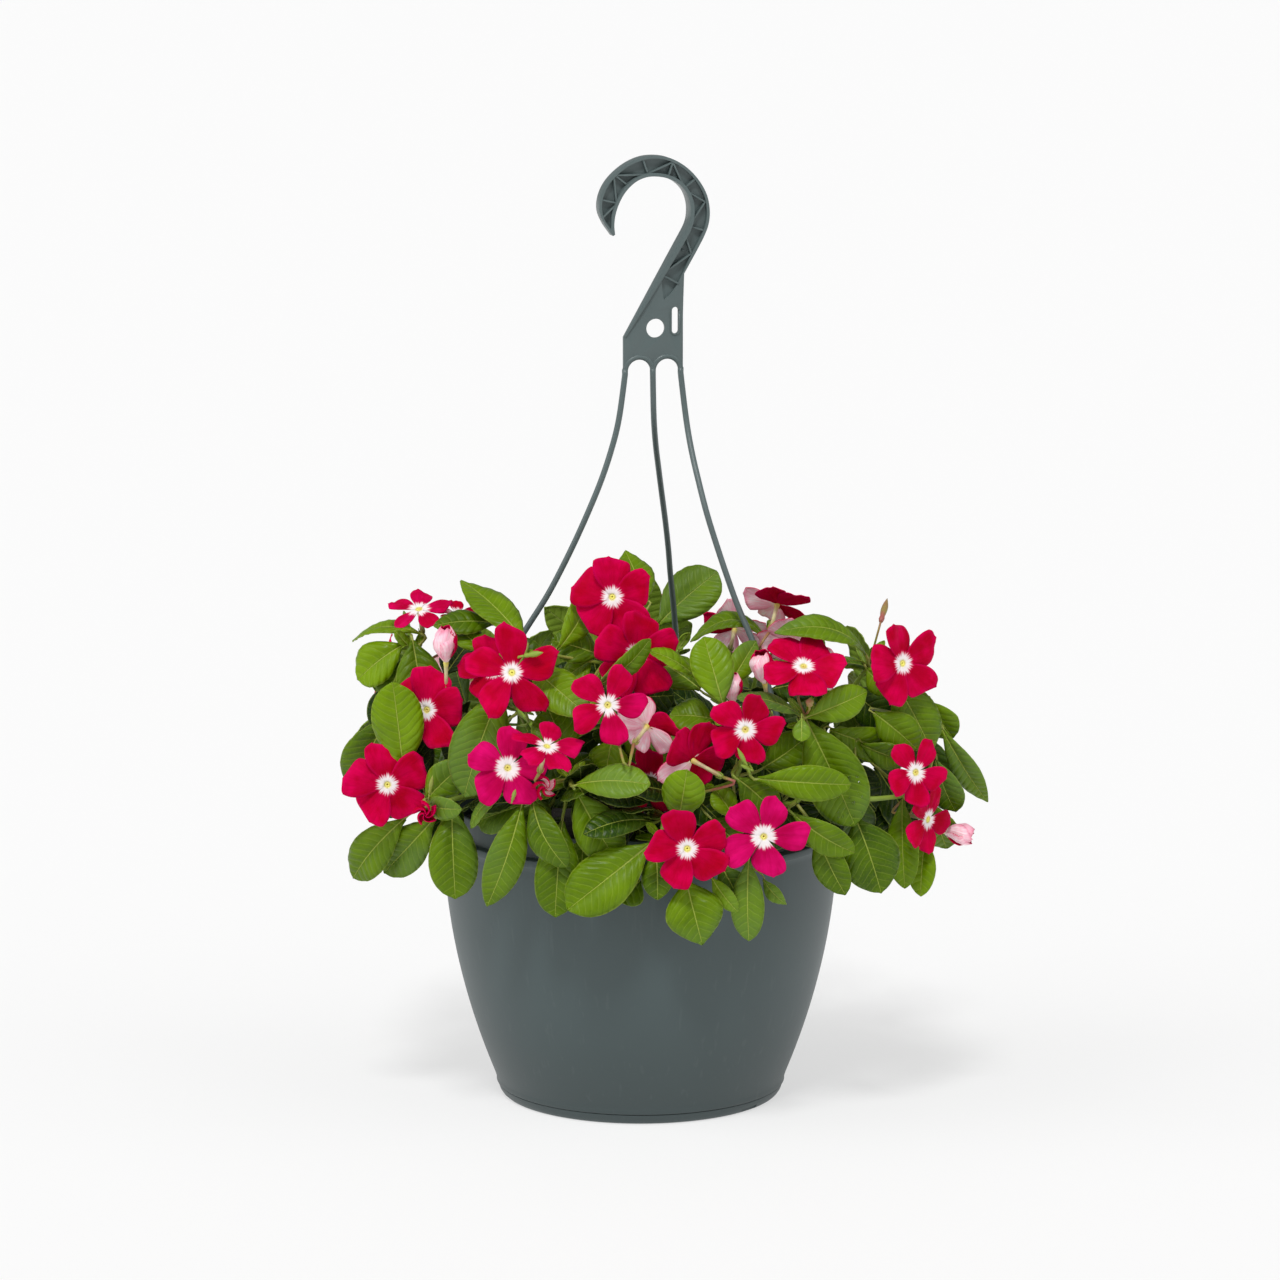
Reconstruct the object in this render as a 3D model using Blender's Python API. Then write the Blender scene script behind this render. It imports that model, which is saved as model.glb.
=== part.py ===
"""Hanging pot of Madagascar periwinkle: a turned plastic pot with a clipped drip
saucer, a one-piece plastic hanger with a hook, soil, leafy stems and blooms.

Lengths are in millimetres and are scaled to metres by MM. The origin is the centre
of the saucer's flat underside, +Z is up, and the photographed side faces -Y.
"""
import math
import random

import bmesh
import bpy
from mathutils import Matrix, Vector
from mathutils.bvhtree import BVHTree

MM = 0.001
CLEAR = 0.3

# Pot and saucer
POT_STEPS = 36
SKIRT_RADIUS = 92.6
SKIRT_HEIGHT = 6.8
SKIRT_TOP = 10.0
WALL_TOP = 168.0
WALL_SWELL = 61.6
WALL_TURN = 28.0
WALL_SPAN = 148.0
WALL = 1.7
LIP_RADIUS = 127.4
LIP_BOTTOM = 170.0
LIP_TOP = 174.5
COLLAR_RADIUS = 122.0
COLLAR_TOP = 190.0
DRAIN_RADIUS = 5.0
DRAIN_RING = 52.0
DRAINS = 4
SLOT_WIDTH = 20.0
SLOT_BOTTOM = 176.0
SLOT_TOP = 187.0
SAUCER_RADIUS = 92.0
SAUCER_FOOT = 89.3
SAUCER_TOP = 6.5
NOTCH_WIDTH = 15.0
NOTCH_HEIGHT = 2.8
FEET = (-71.5, 48.5, 168.5)
NOTCHES = (-70.0, 50.0, 170.0)

# Soil
SOIL_TOP = 174.0
SOIL_STEPS = 20
HOLE_DEPTH = 12.0

# Hanger: the plate lies in a plane turned by PLATE_TURN round the vertical
PLATE_TURN = 15.0
AXIS_SHIFT = 7.8
HOOK_DEPTH = 10.0
PLATE_THICK = 3.6
PLATE_HALF = 19.4
PLATE_BOTTOM = 465.0
POCKET = 3.4
LEG_SHIFT = 18.2
ARCH_RADIUS = 7.3
ARCH_TOP = 474.2
EYE_SHIFT = 1.5
EYE_RADIUS = 6.0
EYE_HEIGHT = 494.0
# Outer and inner edge of the hook, from its tip over the top and down to the plate (across, up)
HOOK_OUTER = (
    (-26.9, 553.4), (-32.6, 561.6), (-35.7, 569.6), (-35.0, 578.0), (-31.4, 586.0), (-25.4, 592.8),
    (-17.4, 598.6), (-8.6, 602.2), (0.2, 603.3), (9.0, 601.8), (17.4, 597.8), (24.6, 592.0),
    (30.4, 584.8), (34.4, 576.8), (36.0, 567.6), (35.2, 559.2), (32.2, 551.4), (27.0, 541.8),
)
HOOK_INNER = (
    (-25.6, 554.2), (-26.1, 560.0), (-25.4, 567.0), (-22.9, 574.6), (-18.6, 581.6), (-12.4, 587.2),
    (-5.4, 590.0), (2.0, 590.2), (9.2, 588.6), (15.3, 585.4), (20.1, 580.2), (22.7, 573.4),
    (23.2, 566.4), (21.9, 559.8), (17.9, 552.0),
)
# The recess between the flanges, and the ends of the ribs across it
CHANNEL_OUTER = (
    (-28.2, 557.6), (-32.4, 563.6), (-34.0, 570.4), (-33.4, 577.4), (-30.0, 585.0), (-24.3, 591.4),
    (-16.7, 596.9), (-8.2, 600.3), (0.2, 601.4), (8.6, 600.0), (16.6, 596.2), (23.5, 590.6),
    (28.9, 583.9), (32.7, 576.3), (34.1, 567.6), (33.3, 559.8), (30.6, 552.6), (23.1, 538.8),
    (14.0, 520.0), (6.6, 512.0),
)
CHANNEL_INNER = (
    (4.7, 524.1), (15.4, 543.0), (20.8, 551.6), (24.7, 559.2), (25.6, 566.4), (24.9, 573.8),
    (22.0, 581.4), (16.7, 587.2), (9.9, 590.6), (2.2, 592.2), (-5.8, 592.0), (-13.5, 589.0),
    (-20.2, 583.0), (-24.8, 575.5), (-27.5, 567.4), (-28.0, 560.6),
)
RIBS = (
    ((-7.4, 601.0), (-4.0, 591.4)), ((-4.0, 591.8), (12.1, 598.9)), ((12.1, 598.9), (9.1, 589.8)),
    ((12.1, 598.5), (19.5, 582.4)), ((26.8, 588.0), (20.0, 582.6)), ((23.2, 579.0), (33.2, 573.2)),
    ((33.2, 573.4), (24.8, 561.5)), ((24.2, 557.8), (33.4, 555.0)), ((20.4, 552.0), (24.0, 541.2)),
    ((24.0, 540.8), (9.0, 531.1)), ((6.2, 527.4), (15.8, 522.2)), ((-25.6, 591.4), (-5.4, 591.2)),
    ((-26.2, 590.4), (-24.4, 573.4)), ((-25.5, 591.4), (-17.2, 585.0)), ((-34.4, 576.4), (-23.8, 573.8)),
    ((-23.8, 573.8), (-34.2, 564.4)),
)
STRAND = 1.9
STRAND_SIDES = 6
STRAND_REACH = (
    (465.0, 18.6), (437.0, 23.4), (418.0, 28.8), (399.0, 35.9), (381.0, 43.4),
    (362.0, 52.0), (343.0, 61.4), (325.0, 71.2), (301.0, 86.6), (281.0, 97.4),
    (256.0, 109.0), (230.0, 120.5), (208.0, 127.6), (194.0, 128.0), (184.0, 125.6),
)

# Foliage
EYE_POINT = (0.0, -3400.0, 920.0)
BLADE = 0.7
PETAL = 0.7
TUBE_LENGTH = 23.0
STEM_SIDES = 5
STEM_FOOT = 2.3
STEM_END = 1.3
TRIES = 260
DOME = (15.0, 165.0, 220.0, 215.0, 165.0)

# Stems: name, hole (angle from the front towards +X, radius), crown (right, up, back)
# and an optional lower node that the stem passes through.
STEMS = (
    ("left_high", (-80, 62), (-146, 288, 34), None),
    ("left_low", (-62, 92), (-156, 232, 36), (-140, 188, 26)),
    ("left_inner", (-48, 48), (-80, 276, 32), None),
    ("front_left", (-38, 92), (-74, 190, 18), None),
    ("front_mid_left", (-22, 70), (-45, 204, 26), None),
    ("centre_top", (-20, 30), (-24, 280, 46), None),
    ("top_back", (120, 34), (22, 286, 215), None),
    ("mid_right", (14, 62), (54, 254, 26), (66, 208, 24)),
    ("front_mid", (-4, 94), (12, 158, 20), None),
    ("centre_front", (8, 84), (24, 202, 34), None),
    ("front_right", (28, 96), (64, 148, 22), None),
    ("right_high", (44, 68), (105, 246, 22), (104, 190, 22)),
    ("right_top_back", (86, 54), (78, 286, 116), None),
    ("far_right_top", (84, 84), (146, 278, 36), None),
    ("far_right", (68, 82), (176, 250, 40), None),
    ("right_low", (58, 100), (182, 196, 34), (146, 190, 30)),
)

# Leaves: stem, base (right, up, back), tip (right, up, back), width, roll, arch
LEAVES = (
    ("left_high", (-140, 298, 35), (-184, 293, 20), 19, 46, 0.16),
    ("left_high", (-151, 291, 30), (-181, 268, 8), 29, 10, 0.12),
    ("left_high", (-142, 293, 22), (-136, 241, 24), 31, 0, 0.06),
    ("left_high", (-152, 280, 40), (-161, 255, 34), 24, 20, 0.1),
    ("left_low", (-147, 212, 2), (-154, 268, -8), 33, 0, 0.04),
    ("left_low", (-161, 245, 38), (-186, 199, 30), 30, -15, 0.08),
    ("left_low", (-151, 178, 22), (-185, 138, 6), 27, 0, 0.1),
    ("left_low", (-133, 178, 30), (-165, 141, 22), 28, -10, 0.06),
    ("left_low", (-121, 186, 16), (-119, 124, 8), 31, 0, 0.07),
    ("left_low", (-137, 188, 10), (-114, 184, 4), 16, 45, 0.15),
    ("left_low", (-137, 191, 20), (-112, 215, 26), 24, 20, 0.06),
    ("left_inner", (-88, 262, 18), (-113, 191, 12), 37, 5, 0.08),
    ("left_inner", (-74, 293, 32), (-115, 333, 20), 26, 25, 0.06),
    ("left_inner", (-88, 303, 40), (-135, 305, 30), 22, 48, 0.1),
    ("left_inner", (-100, 287, 36), (-117, 303, 34), 18, 10, 0.05),
    ("left_inner", (-70, 277, 26), (-33, 245, 14), 27, 5, 0.1),
    ("front_left", (-87, 194, 14), (-109, 171, 6), 15, 48, 0.16),
    ("front_left", (-76, 187, 8), (-99, 119, 0), 24, -10, 0.1),
    ("front_left", (-69, 191, 10), (-47, 145, 2), 23, 30, 0.18),
    ("front_left", (-77, 186, 34), (-105, 176, 40), 26, 10, 0.05),
    ("front_mid_left", (-50, 176, 16), (-55, 112, 8), 28, 0, 0.06),
    ("front_mid_left", (-41, 195, 12), (-14, 148, 14), 30, 5, 0.05),
    ("front_mid_left", (-41, 200, 4), (7, 200, -8), 24, -12, 0.08),
    ("front_mid_left", (-48, 219, 30), (-59, 250, 34), 34, 10, 0.1),
    ("front_mid_left", (-36, 165, 30), (-38, 141, 26), 24, 10, 0.05),
    ("centre_top", (-26, 284, 44), (-57, 294, 30), 27, 15, 0.1),
    ("centre_top", (-31, 281, 48), (-49, 269, 44), 20, 30, 0.06),
    ("centre_top", (-53, 288, 20), (-33, 326, 30), 22, 40, 0.14),
    ("centre_top", (-26, 255, 50), (-51, 247, 52), 26, 10, 0.06),
    ("centre_top", (-25, 266, 6), (6, 300, -14), 18, 58, 0.12),
    ("centre_top", (4, 319, 44), (-10, 352, 40), 24, 20, 0.06),
    ("centre_top", (-18, 229, 44), (-22, 208, 40), 26, 15, 0.06),
    ("top_back", (9, 303, 238), (50, 337, 206), 35, -8, 0.04),
    ("mid_right", (36, 272, 30), (6, 288, 22), 16, 45, 0.1),
    ("mid_right", (38, 262, 44), (11, 281, 48), 24, 10, 0.06),
    ("mid_right", (53, 252, 14), (40, 297, 8), 27, 5, 0.05),
    ("mid_right", (56, 264, 34), (74, 294, 40), 17, 20, 0.05),
    ("mid_right", (48, 242, 34), (18, 245, 38), 27, 20, 0.08),
    ("mid_right", (60, 178, 20), (45, 200, 20), 18, 10, 0.1),
    ("mid_right", (62, 204, 12), (88, 180, 14), 25, 5, 0.06),
    ("mid_right", (75, 204, 8), (136, 200, -6), 23, 30, 0.1),
    ("mid_right", (78, 211, 28), (107, 232, 30), 24, 20, 0.06),
    ("front_mid", (4, 162, 10), (-47, 116, 4), 36, 5, 0.06),
    ("front_mid", (10, 156, 14), (11, 124, 8), 20, 0, 0.08),
    ("front_mid", (29, 137, 14), (40, 94, 6), 36, 0, 0.06),
    ("front_mid", (0, 137, 26), (-12, 122, 22), 20, 10, 0.05),
    ("centre_front", (24, 178, 14), (30, 211, 0), 27, 0, 0.08),
    ("centre_front", (-5, 232, 34), (7, 211, 32), 15, 20, 0.08),
    ("centre_front", (38, 232, 44), (15, 240, 46), 26, 20, 0.08),
    ("centre_front", (46, 176, 34), (65, 162, 30), 24, 20, 0.06),
    ("front_right", (46, 139, 16), (63, 116, 8), 13, 35, 0.08),
    ("front_right", (70, 151, 12), (69, 97, 4), 21, 0, 0.05),
    ("front_right", (79, 138, 14), (94, 121, 8), 11, 45, 0.1),
    ("front_right", (52, 147, 22), (65, 123, 20), 20, 10, 0.06),
    ("right_high", (106, 244, 12), (145, 261, 10), 22, 25, 0.1),
    ("right_high", (102, 245, 14), (61, 257, 10), 20, 45, 0.1),
    ("right_high", (103, 243, 2), (103, 228, -2), 11, 0, 0.1),
    ("right_high", (106, 242, 14), (138, 172, 4), 38, 5, 0.08),
    ("right_high", (98, 181, 10), (138, 155, 2), 21, 35, 0.1),
    ("right_high", (113, 168, 16), (132, 127, 10), 22, 25, 0.06),
    ("right_top_back", (83, 288, 110), (31, 293, 108), 24, 50, 0.36),
    ("right_top_back", (84, 288, 96), (103, 312, 92), 18, 30, 0.08),
    ("right_top_back", (69, 285, 114), (53, 271, 112), 24, 20, 0.08),
    ("far_right_top", (142, 284, 22), (84, 299, 18), 23, 35, 0.2),
    ("far_right_top", (144, 276, 34), (159, 259, 26), 18, 40, 0.08),
    ("far_right_top", (145, 276, 44), (122, 279, 44), 16, 45, 0.08),
    ("far_right", (149, 247, 26), (177, 223, 20), 26, 15, 0.08),
    ("far_right", (162, 268, 20), (186, 219, 10), 32, 0, 0.08),
    ("far_right", (185, 254, 36), (200, 230, 34), 22, 25, 0.06),
    ("far_right", (193, 236, 26), (223, 188, 18), 17, 30, 0.08),
    ("right_low", (119, 237, 34), (171, 223, 32), 24, 45, 0.08),
    ("right_low", (138, 227, 40), (175, 210, 40), 20, 50, 0.06),
    ("right_low", (189, 216, 30), (202, 182, 26), 24, 30, 0.08),
    ("right_low", (138, 178, 14), (155, 128, 6), 38, 0, 0.05),
    ("right_low", (168, 190, 26), (170, 131, 22), 22, 20, 0.08),
    ("right_low", (183, 166, 28), (180, 126, 22), 18, 10, 0.06),
    ("right_low", (185, 190, 34), (195, 157, 30), 24, 20, 0.06),
)

# Blooms: stem, centre (right, up, back), radius, facing (turn, lift), roll, openness, fullness
BLOOMS = (
    ("left_low", (-162, 200, 0), 28.5, (0, -2), 25, 1.0, 0.9),
    ("left_inner", (-82, 273, 0), 32.5, (-4, 12), 16, 1.0, 0.7),
    ("left_high", (-141, 314, 8), 22, (-12, 63), 20, 1.0, 0.5),
    ("left_high", (-117, 311, 44), 16, (20, 72), 0, 1.0, 0.6),
    ("left_high", (-124, 280, 14), 23, (0, 80), 10, 0.08, 1.0),
    ("left_low", (-136, 249, 24), 28, (-22, 8), 10, 1.0, 1.0),
    ("left_inner", (-100, 272, 38), 24, (-20, 20), 30, 1.0, 1.0),
    ("front_left", (-85, 211, 0), 27.5, (4, 4), 8, 1.0, 0.6),
    ("front_mid_left", (-62, 223, 10), 24, (24, 66), -12, 1.0, 0.5),
    ("centre_top", (-18, 322, 8), 27, (-4, 6), 16, 1.0, 1.0),
    ("centre_top", (-3, 285, 20), 29, (12, 4), 10, 1.0, 1.0),
    ("centre_top", (-21, 252, 4), 27, (8, 8), -7, 1.0, 0.5),
    ("centre_top", (4, 238, 18), 23, (152, 22), 20, 1.0, 0.9),
    ("centre_front", (33, 216, 20), 26, (-112, 24), 40, 1.0, 1.0),
    ("centre_front", (6, 204, 28), 26, (-14, -12), 20, 1.0, 0.8),
    ("mid_right", (67, 236, 2), 25, (6, 2), -4, 1.0, 0.6),
    ("mid_right", (59, 254, 26), 19, (-10, 80), 10, 0.1, 1.0),
    ("right_high", (104, 277, 4), 28, (8, 52), -20, 1.0, 0.8),
    ("right_top_back", (97, 293, 76), 23, (170, 36), 0, 1.0, 0.9),
    ("mid_right", (79, 268, 16), 22, (-30, 66), 10, 0.2, 1.0),
    ("far_right_top", (167, 279, 0), 28, (36, 8), 28, 1.0, 0.9),
    ("far_right", (176, 208, 4), 24, (30, 8), -20, 1.0, 0.6),
    ("right_low", (184, 177, 8), 25, (50, -4), 60, 1.0, 0.6),
    ("right_low", (194, 170, 14), 19, (86, -6), 10, 0.3, 1.0),
    ("front_mid", (30, 158, -2), 28, (0, -4), 30, 1.0, 0.9),
    ("front_right", (79, 166, -4), 29, (0, -4), -5, 1.0, 0.45),
    ("right_top_back", (87, 317, 74), 23, (160, 46), 10, 1.0, 1.0),
    ("top_back", (60, 301, 132), 23, (168, 34), 10, 1.0, 0.8),
)

# Rolled buds: stem, centre (right, up, back), radius, facing (turn, lift)
BUDS = (
    ("left_low", (-138, 181, -7), 6.8, (0, -4)),
    ("front_mid_left", (-61, 198, 4), 6.8, (14, 4)),
)

# Stems at the back and sides: name, hole, crown (angle, radius, height), leaves, blooms
BACK_STEMS = (
    ("side_left", (-112, 88), (-112, 150, 236), 6, 1),
    ("back_left", (-146, 80), (-146, 146, 226), 6, 1),
    ("back_mid", (184, 72), (186, 140, 246), 7, 2),
    ("back_right", (142, 82), (142, 148, 228), 6, 1),
    ("side_right", (108, 92), (110, 158, 232), 6, 1),
)


def clear_scene():
    for item in list(bpy.data.objects):
        bpy.data.objects.remove(item, do_unlink=True)


def material(name, colour, roughness, metallic=0.0):
    surface = bpy.data.materials.new(name)
    surface.use_nodes = True
    shader = surface.node_tree.nodes["Principled BSDF"]
    shader.inputs["Base Color"].default_value = (*colour, 1.0)
    shader.inputs["Roughness"].default_value = roughness
    shader.inputs["Metallic"].default_value = metallic
    return surface


def paint(item, surface):
    """Give the whole object one material."""
    item.data.materials.clear()
    item.data.materials.append(surface)
    for face in item.data.polygons:
        face.material_index = 0


def object_from(name, bm):
    mesh = bpy.data.meshes.new(name)
    bmesh.ops.recalc_face_normals(bm, faces=bm.faces)
    bm.to_mesh(mesh)
    bm.free()
    item = bpy.data.objects.new(name, mesh)
    bpy.context.collection.objects.link(item)
    return item


def apply_modifier(item, modifier):
    bpy.context.view_layer.objects.active = item
    with bpy.context.temp_override(object=item, active_object=item):
        bpy.ops.object.modifier_apply(modifier=modifier.name)


def boolean(item, other, operation, solver="EXACT"):
    modifier = item.modifiers.new(operation.title(), "BOOLEAN")
    modifier.operation = operation
    modifier.solver = solver
    modifier.object = other
    apply_modifier(item, modifier)
    bpy.data.objects.remove(other, do_unlink=True)


def turned(name, profile, steps):
    """Solid of revolution round Z from (radius, height) points."""
    bm = bmesh.new()
    ring = [bm.verts.new((r * MM, 0.0, z * MM)) for r, z in profile]
    edges = [bm.edges.new(pair) for pair in zip(ring, ring[1:] + ring[:1])]
    bmesh.ops.spin(bm, geom=ring + edges, cent=(0, 0, 0), axis=(0, 0, 1), steps=steps,
                   angle=2 * math.pi, use_merge=True)
    bmesh.ops.remove_doubles(bm, verts=bm.verts, dist=2e-6)
    return object_from(name, bm)


def prism(name, outline, low, high, place=None):
    """Upright outline (across, up) pushed through from depth low to depth high."""
    bm = bmesh.new()
    face = bm.faces.new([bm.verts.new((x * MM, low * MM, z * MM)) for x, z in outline])
    made = bmesh.ops.extrude_face_region(bm, geom=[face])["geom"]
    moved = [v for v in made if isinstance(v, bmesh.types.BMVert)]
    bmesh.ops.translate(bm, verts=moved, vec=(0, (high - low) * MM, 0))
    if place is not None:
        bmesh.ops.transform(bm, matrix=place, verts=bm.verts)
    return object_from(name, bm)


def cutter_box(size, centre, turn=0.0):
    bm = bmesh.new()
    matrix = Matrix.Rotation(math.radians(turn), 4, "Z") @ Matrix.Translation(Vector(centre) * MM)
    bmesh.ops.create_cube(bm, size=1.0, matrix=matrix @ Matrix.Diagonal((*[s * MM for s in size], 1)))
    return object_from("cutter", bm)


def cutter_rod(radius, low, high, x, y, sides, turn=0.0):
    bm = bmesh.new()
    place = Matrix.Translation(Vector((x, y, (low + high) / 2)) * MM)
    place = place @ Matrix.Rotation(turn, 4, "Z")
    bmesh.ops.create_cone(bm, cap_ends=True, segments=sides, radius1=radius * MM,
                          radius2=radius * MM, depth=(high - low) * MM, matrix=place)
    return object_from("cutter", bm)


def wall_radius(z):
    t = (z - SKIRT_TOP) / WALL_SPAN
    return min(SKIRT_RADIUS + WALL_SWELL * t - WALL_TURN * t * t, LIP_RADIUS - 0.6)


def make_pot():
    heights = (SKIRT_TOP, 44.0, 86.0, 130.0, WALL_TOP)
    inner = (150.0, 96.0, 46.0)
    profile = [(COLLAR_RADIUS - WALL, COLLAR_TOP), (COLLAR_RADIUS, COLLAR_TOP)]
    profile += [(COLLAR_RADIUS, LIP_TOP), (LIP_RADIUS, LIP_TOP), (LIP_RADIUS, LIP_BOTTOM)]
    profile += [(wall_radius(z), z) for z in reversed(heights)]
    profile += [(SKIRT_RADIUS, SKIRT_HEIGHT), (SKIRT_RADIUS - WALL, SKIRT_HEIGHT)]
    profile += [(SKIRT_RADIUS - WALL - 0.6, 9.0), (0.0, 9.0), (0.0, 9.0 + WALL)]
    profile += [(SKIRT_RADIUS - WALL - 0.8, 9.0 + WALL)]
    profile += [(wall_radius(z) - WALL, z) for z in reversed(inner)]
    profile += [(COLLAR_RADIUS - WALL, LIP_BOTTOM - 2.0)]
    pot = turned("pot", profile, POT_STEPS)
    for k in range(DRAINS):
        angle = 2 * math.pi * (k + 0.5) / DRAINS
        boolean(pot, cutter_rod(DRAIN_RADIUS, 4.0, 16.0, DRAIN_RING * math.cos(angle),
                                DRAIN_RING * math.sin(angle), 6), "DIFFERENCE")
    size = (SLOT_WIDTH, 16.0, SLOT_TOP - SLOT_BOTTOM)
    for foot in FEET:
        slot = cutter_box(size, (0, -COLLAR_RADIUS, (SLOT_TOP + SLOT_BOTTOM) / 2), foot)
        boolean(pot, slot, "DIFFERENCE")
    paint(pot, material("pot_plastic", (0.070, 0.095, 0.097), 0.45))
    return pot


def make_saucer():
    profile = [(0.0, 1.8), (84.0, 1.8), (SAUCER_RADIUS - WALL, SAUCER_TOP)]
    profile += [(SAUCER_RADIUS, SAUCER_TOP), (90.6, 2.4), (SAUCER_FOOT, 0.8)]
    profile += [(SAUCER_FOOT - 1.4, 0.0), (0.0, 0.0)]
    saucer = turned("drip_saucer", profile, POT_STEPS)
    size = (NOTCH_WIDTH, 3.4, 2 * NOTCH_HEIGHT)
    for notch in NOTCHES:
        boolean(saucer, cutter_box(size, (0, -SAUCER_FOOT - 1.0, 0), notch), "DIFFERENCE")
    paint(saucer, material("saucer_plastic", (0.070, 0.095, 0.097), 0.45))
    return saucer


def make_soil(holes):
    top = SOIL_TOP
    gap = WALL + 0.9
    profile = [(0.0, top + 3.0), (62.0, top + 2.2), (COLLAR_RADIUS - gap, top - 3.0)]
    profile += [(COLLAR_RADIUS - gap, LIP_BOTTOM - 4.0)]
    profile += [(wall_radius(z) - gap - 1.2, z) for z in (130.0, 80.0)]
    profile += [(SKIRT_RADIUS - gap - 1.4, 9.0 + WALL + CLEAR), (0.0, 9.0 + WALL + CLEAR)]
    soil = turned("soil", profile, SOIL_STEPS)
    for x, y in holes:
        hole = cutter_rod(STEM_FOOT + 2.4, top - HOLE_DEPTH, top + 8.0, x, y, 5)
        boolean(soil, hole, "DIFFERENCE")
    paint(soil, material("soil_mix", (0.018, 0.013, 0.010), 0.95))
    return soil


def plate_matrix():
    turn = Matrix.Rotation(math.radians(PLATE_TURN), 4, "Z")
    return Matrix.Translation((AXIS_SHIFT * MM, 0, 0)) @ turn


def hook_outline():
    points = list(HOOK_OUTER) + [(PLATE_HALF, 528.6), (PLATE_HALF, PLATE_BOTTOM)]
    for centre in (LEG_SHIFT / 2, -LEG_SHIFT / 2):
        points += [(centre + ARCH_RADIUS, PLATE_BOTTOM)]
        points += [(centre + ARCH_RADIUS * math.cos(math.radians(a)),
                    ARCH_TOP - ARCH_RADIUS + ARCH_RADIUS * math.sin(math.radians(a)))
                   for a in (20, 55, 90, 125, 160)]
        points += [(centre - ARCH_RADIUS, PLATE_BOTTOM)]
    return points + [(-PLATE_HALF, PLATE_BOTTOM), (-PLATE_HALF, 489.4)] + list(HOOK_INNER)[::-1]


def rib(start, end, place):
    a = Vector(start)
    b = Vector(end)
    side = (b - a).normalized().orthogonal() * 0.55
    outline = [a + side, b + side, b - side, a - side]
    return prism("rib", outline, -HOOK_DEPTH / 2 + 0.7, -HOOK_DEPTH / 2 + POCKET + 1.0, place)


def strand_points(foot):
    turn = math.radians(foot)
    middle = abs(foot) > 120
    points = []
    for height, reach in STRAND_REACH:
        blend = min(1.0, (STRAND_REACH[0][0] - height) / (125.0 if middle else 85.0))
        blend = blend * blend * (3 - 2 * blend)
        shift = AXIS_SHIFT * min(1.0, max(0.0, (height - 180.0) / 220.0))
        if not middle:
            shift += 2.4 * math.sin(math.pi * (height - 180.0) / 285.0)
        x = shift + reach * math.sin(turn)
        y = -reach * math.cos(turn)
        leg = 0.0 if middle else math.copysign(LEG_SHIFT, foot)
        start_x = AXIS_SHIFT + leg * math.cos(math.radians(PLATE_TURN))
        start_y = leg * math.sin(math.radians(PLATE_TURN))
        if middle:
            x = start_x + (x - start_x) * blend
        else:
            x = x + (start_x - (AXIS_SHIFT + STRAND_REACH[0][1] * math.sin(turn))) * (1 - blend)
        deep = min(1.0, (STRAND_REACH[0][0] - height) / 85.0)
        y = start_y + (y - start_y) * deep * deep * (3 - 2 * deep)
        points.append(Vector((x, y, height)))
    first = points[0]
    points.insert(0, Vector((first.x, first.y, 470.5)))
    out = Vector((math.sin(turn), -math.cos(turn), 0))
    points.append(out * 122.8 + Vector((0, 0, 180.4)))
    points.append(out * 114.0 + Vector((0, 0, 181.0)))
    return points


def tube(points, radii, sides):
    """Vertices and triangles of a closed round bar along points."""
    verts = []
    faces = []
    across = None
    count = len(points)
    for i, point in enumerate(points):
        ahead = points[min(i + 1, count - 1)] - points[max(i - 1, 0)]
        ahead.normalize()
        if across is None:
            across = ahead.orthogonal().normalized()
        across = (across - ahead * across.dot(ahead)).normalized()
        other = ahead.cross(across)
        for k in range(sides):
            angle = 2 * math.pi * k / sides
            verts.append(point + (across * math.cos(angle) + other * math.sin(angle)) * radii[i])
    for i in range(count - 1):
        for k in range(sides):
            a = i * sides + k
            b = i * sides + (k + 1) % sides
            faces.append((a, b, b + sides))
            faces.append((a, b + sides, a + sides))
    last = (count - 1) * sides
    for k in range(1, sides - 1):
        faces.append((0, k + 1, k))
        faces.append((last, last + k, last + k + 1))
    return verts, faces


def shape_object(name, shape):
    bm = bmesh.new()
    verts = [bm.verts.new(Vector(v) * MM) for v in shape[0]]
    for face in shape[1]:
        bm.faces.new([verts[i] for i in face])
    return object_from(name, bm)


def union(item, others, solver="EXACT"):
    """Join closed solids to item by one Boolean on a collection of them."""
    group = bpy.data.collections.new("joined")
    bpy.context.scene.collection.children.link(group)
    for other in others:
        for home in list(other.users_collection):
            home.objects.unlink(other)
        group.objects.link(other)
    modifier = item.modifiers.new("Union", "BOOLEAN")
    modifier.operation = "UNION"
    modifier.operand_type = "COLLECTION"
    modifier.collection = group
    modifier.solver = solver
    apply_modifier(item, modifier)
    for other in list(group.objects):
        bpy.data.objects.remove(other, do_unlink=True)
    bpy.data.collections.remove(group)


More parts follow.
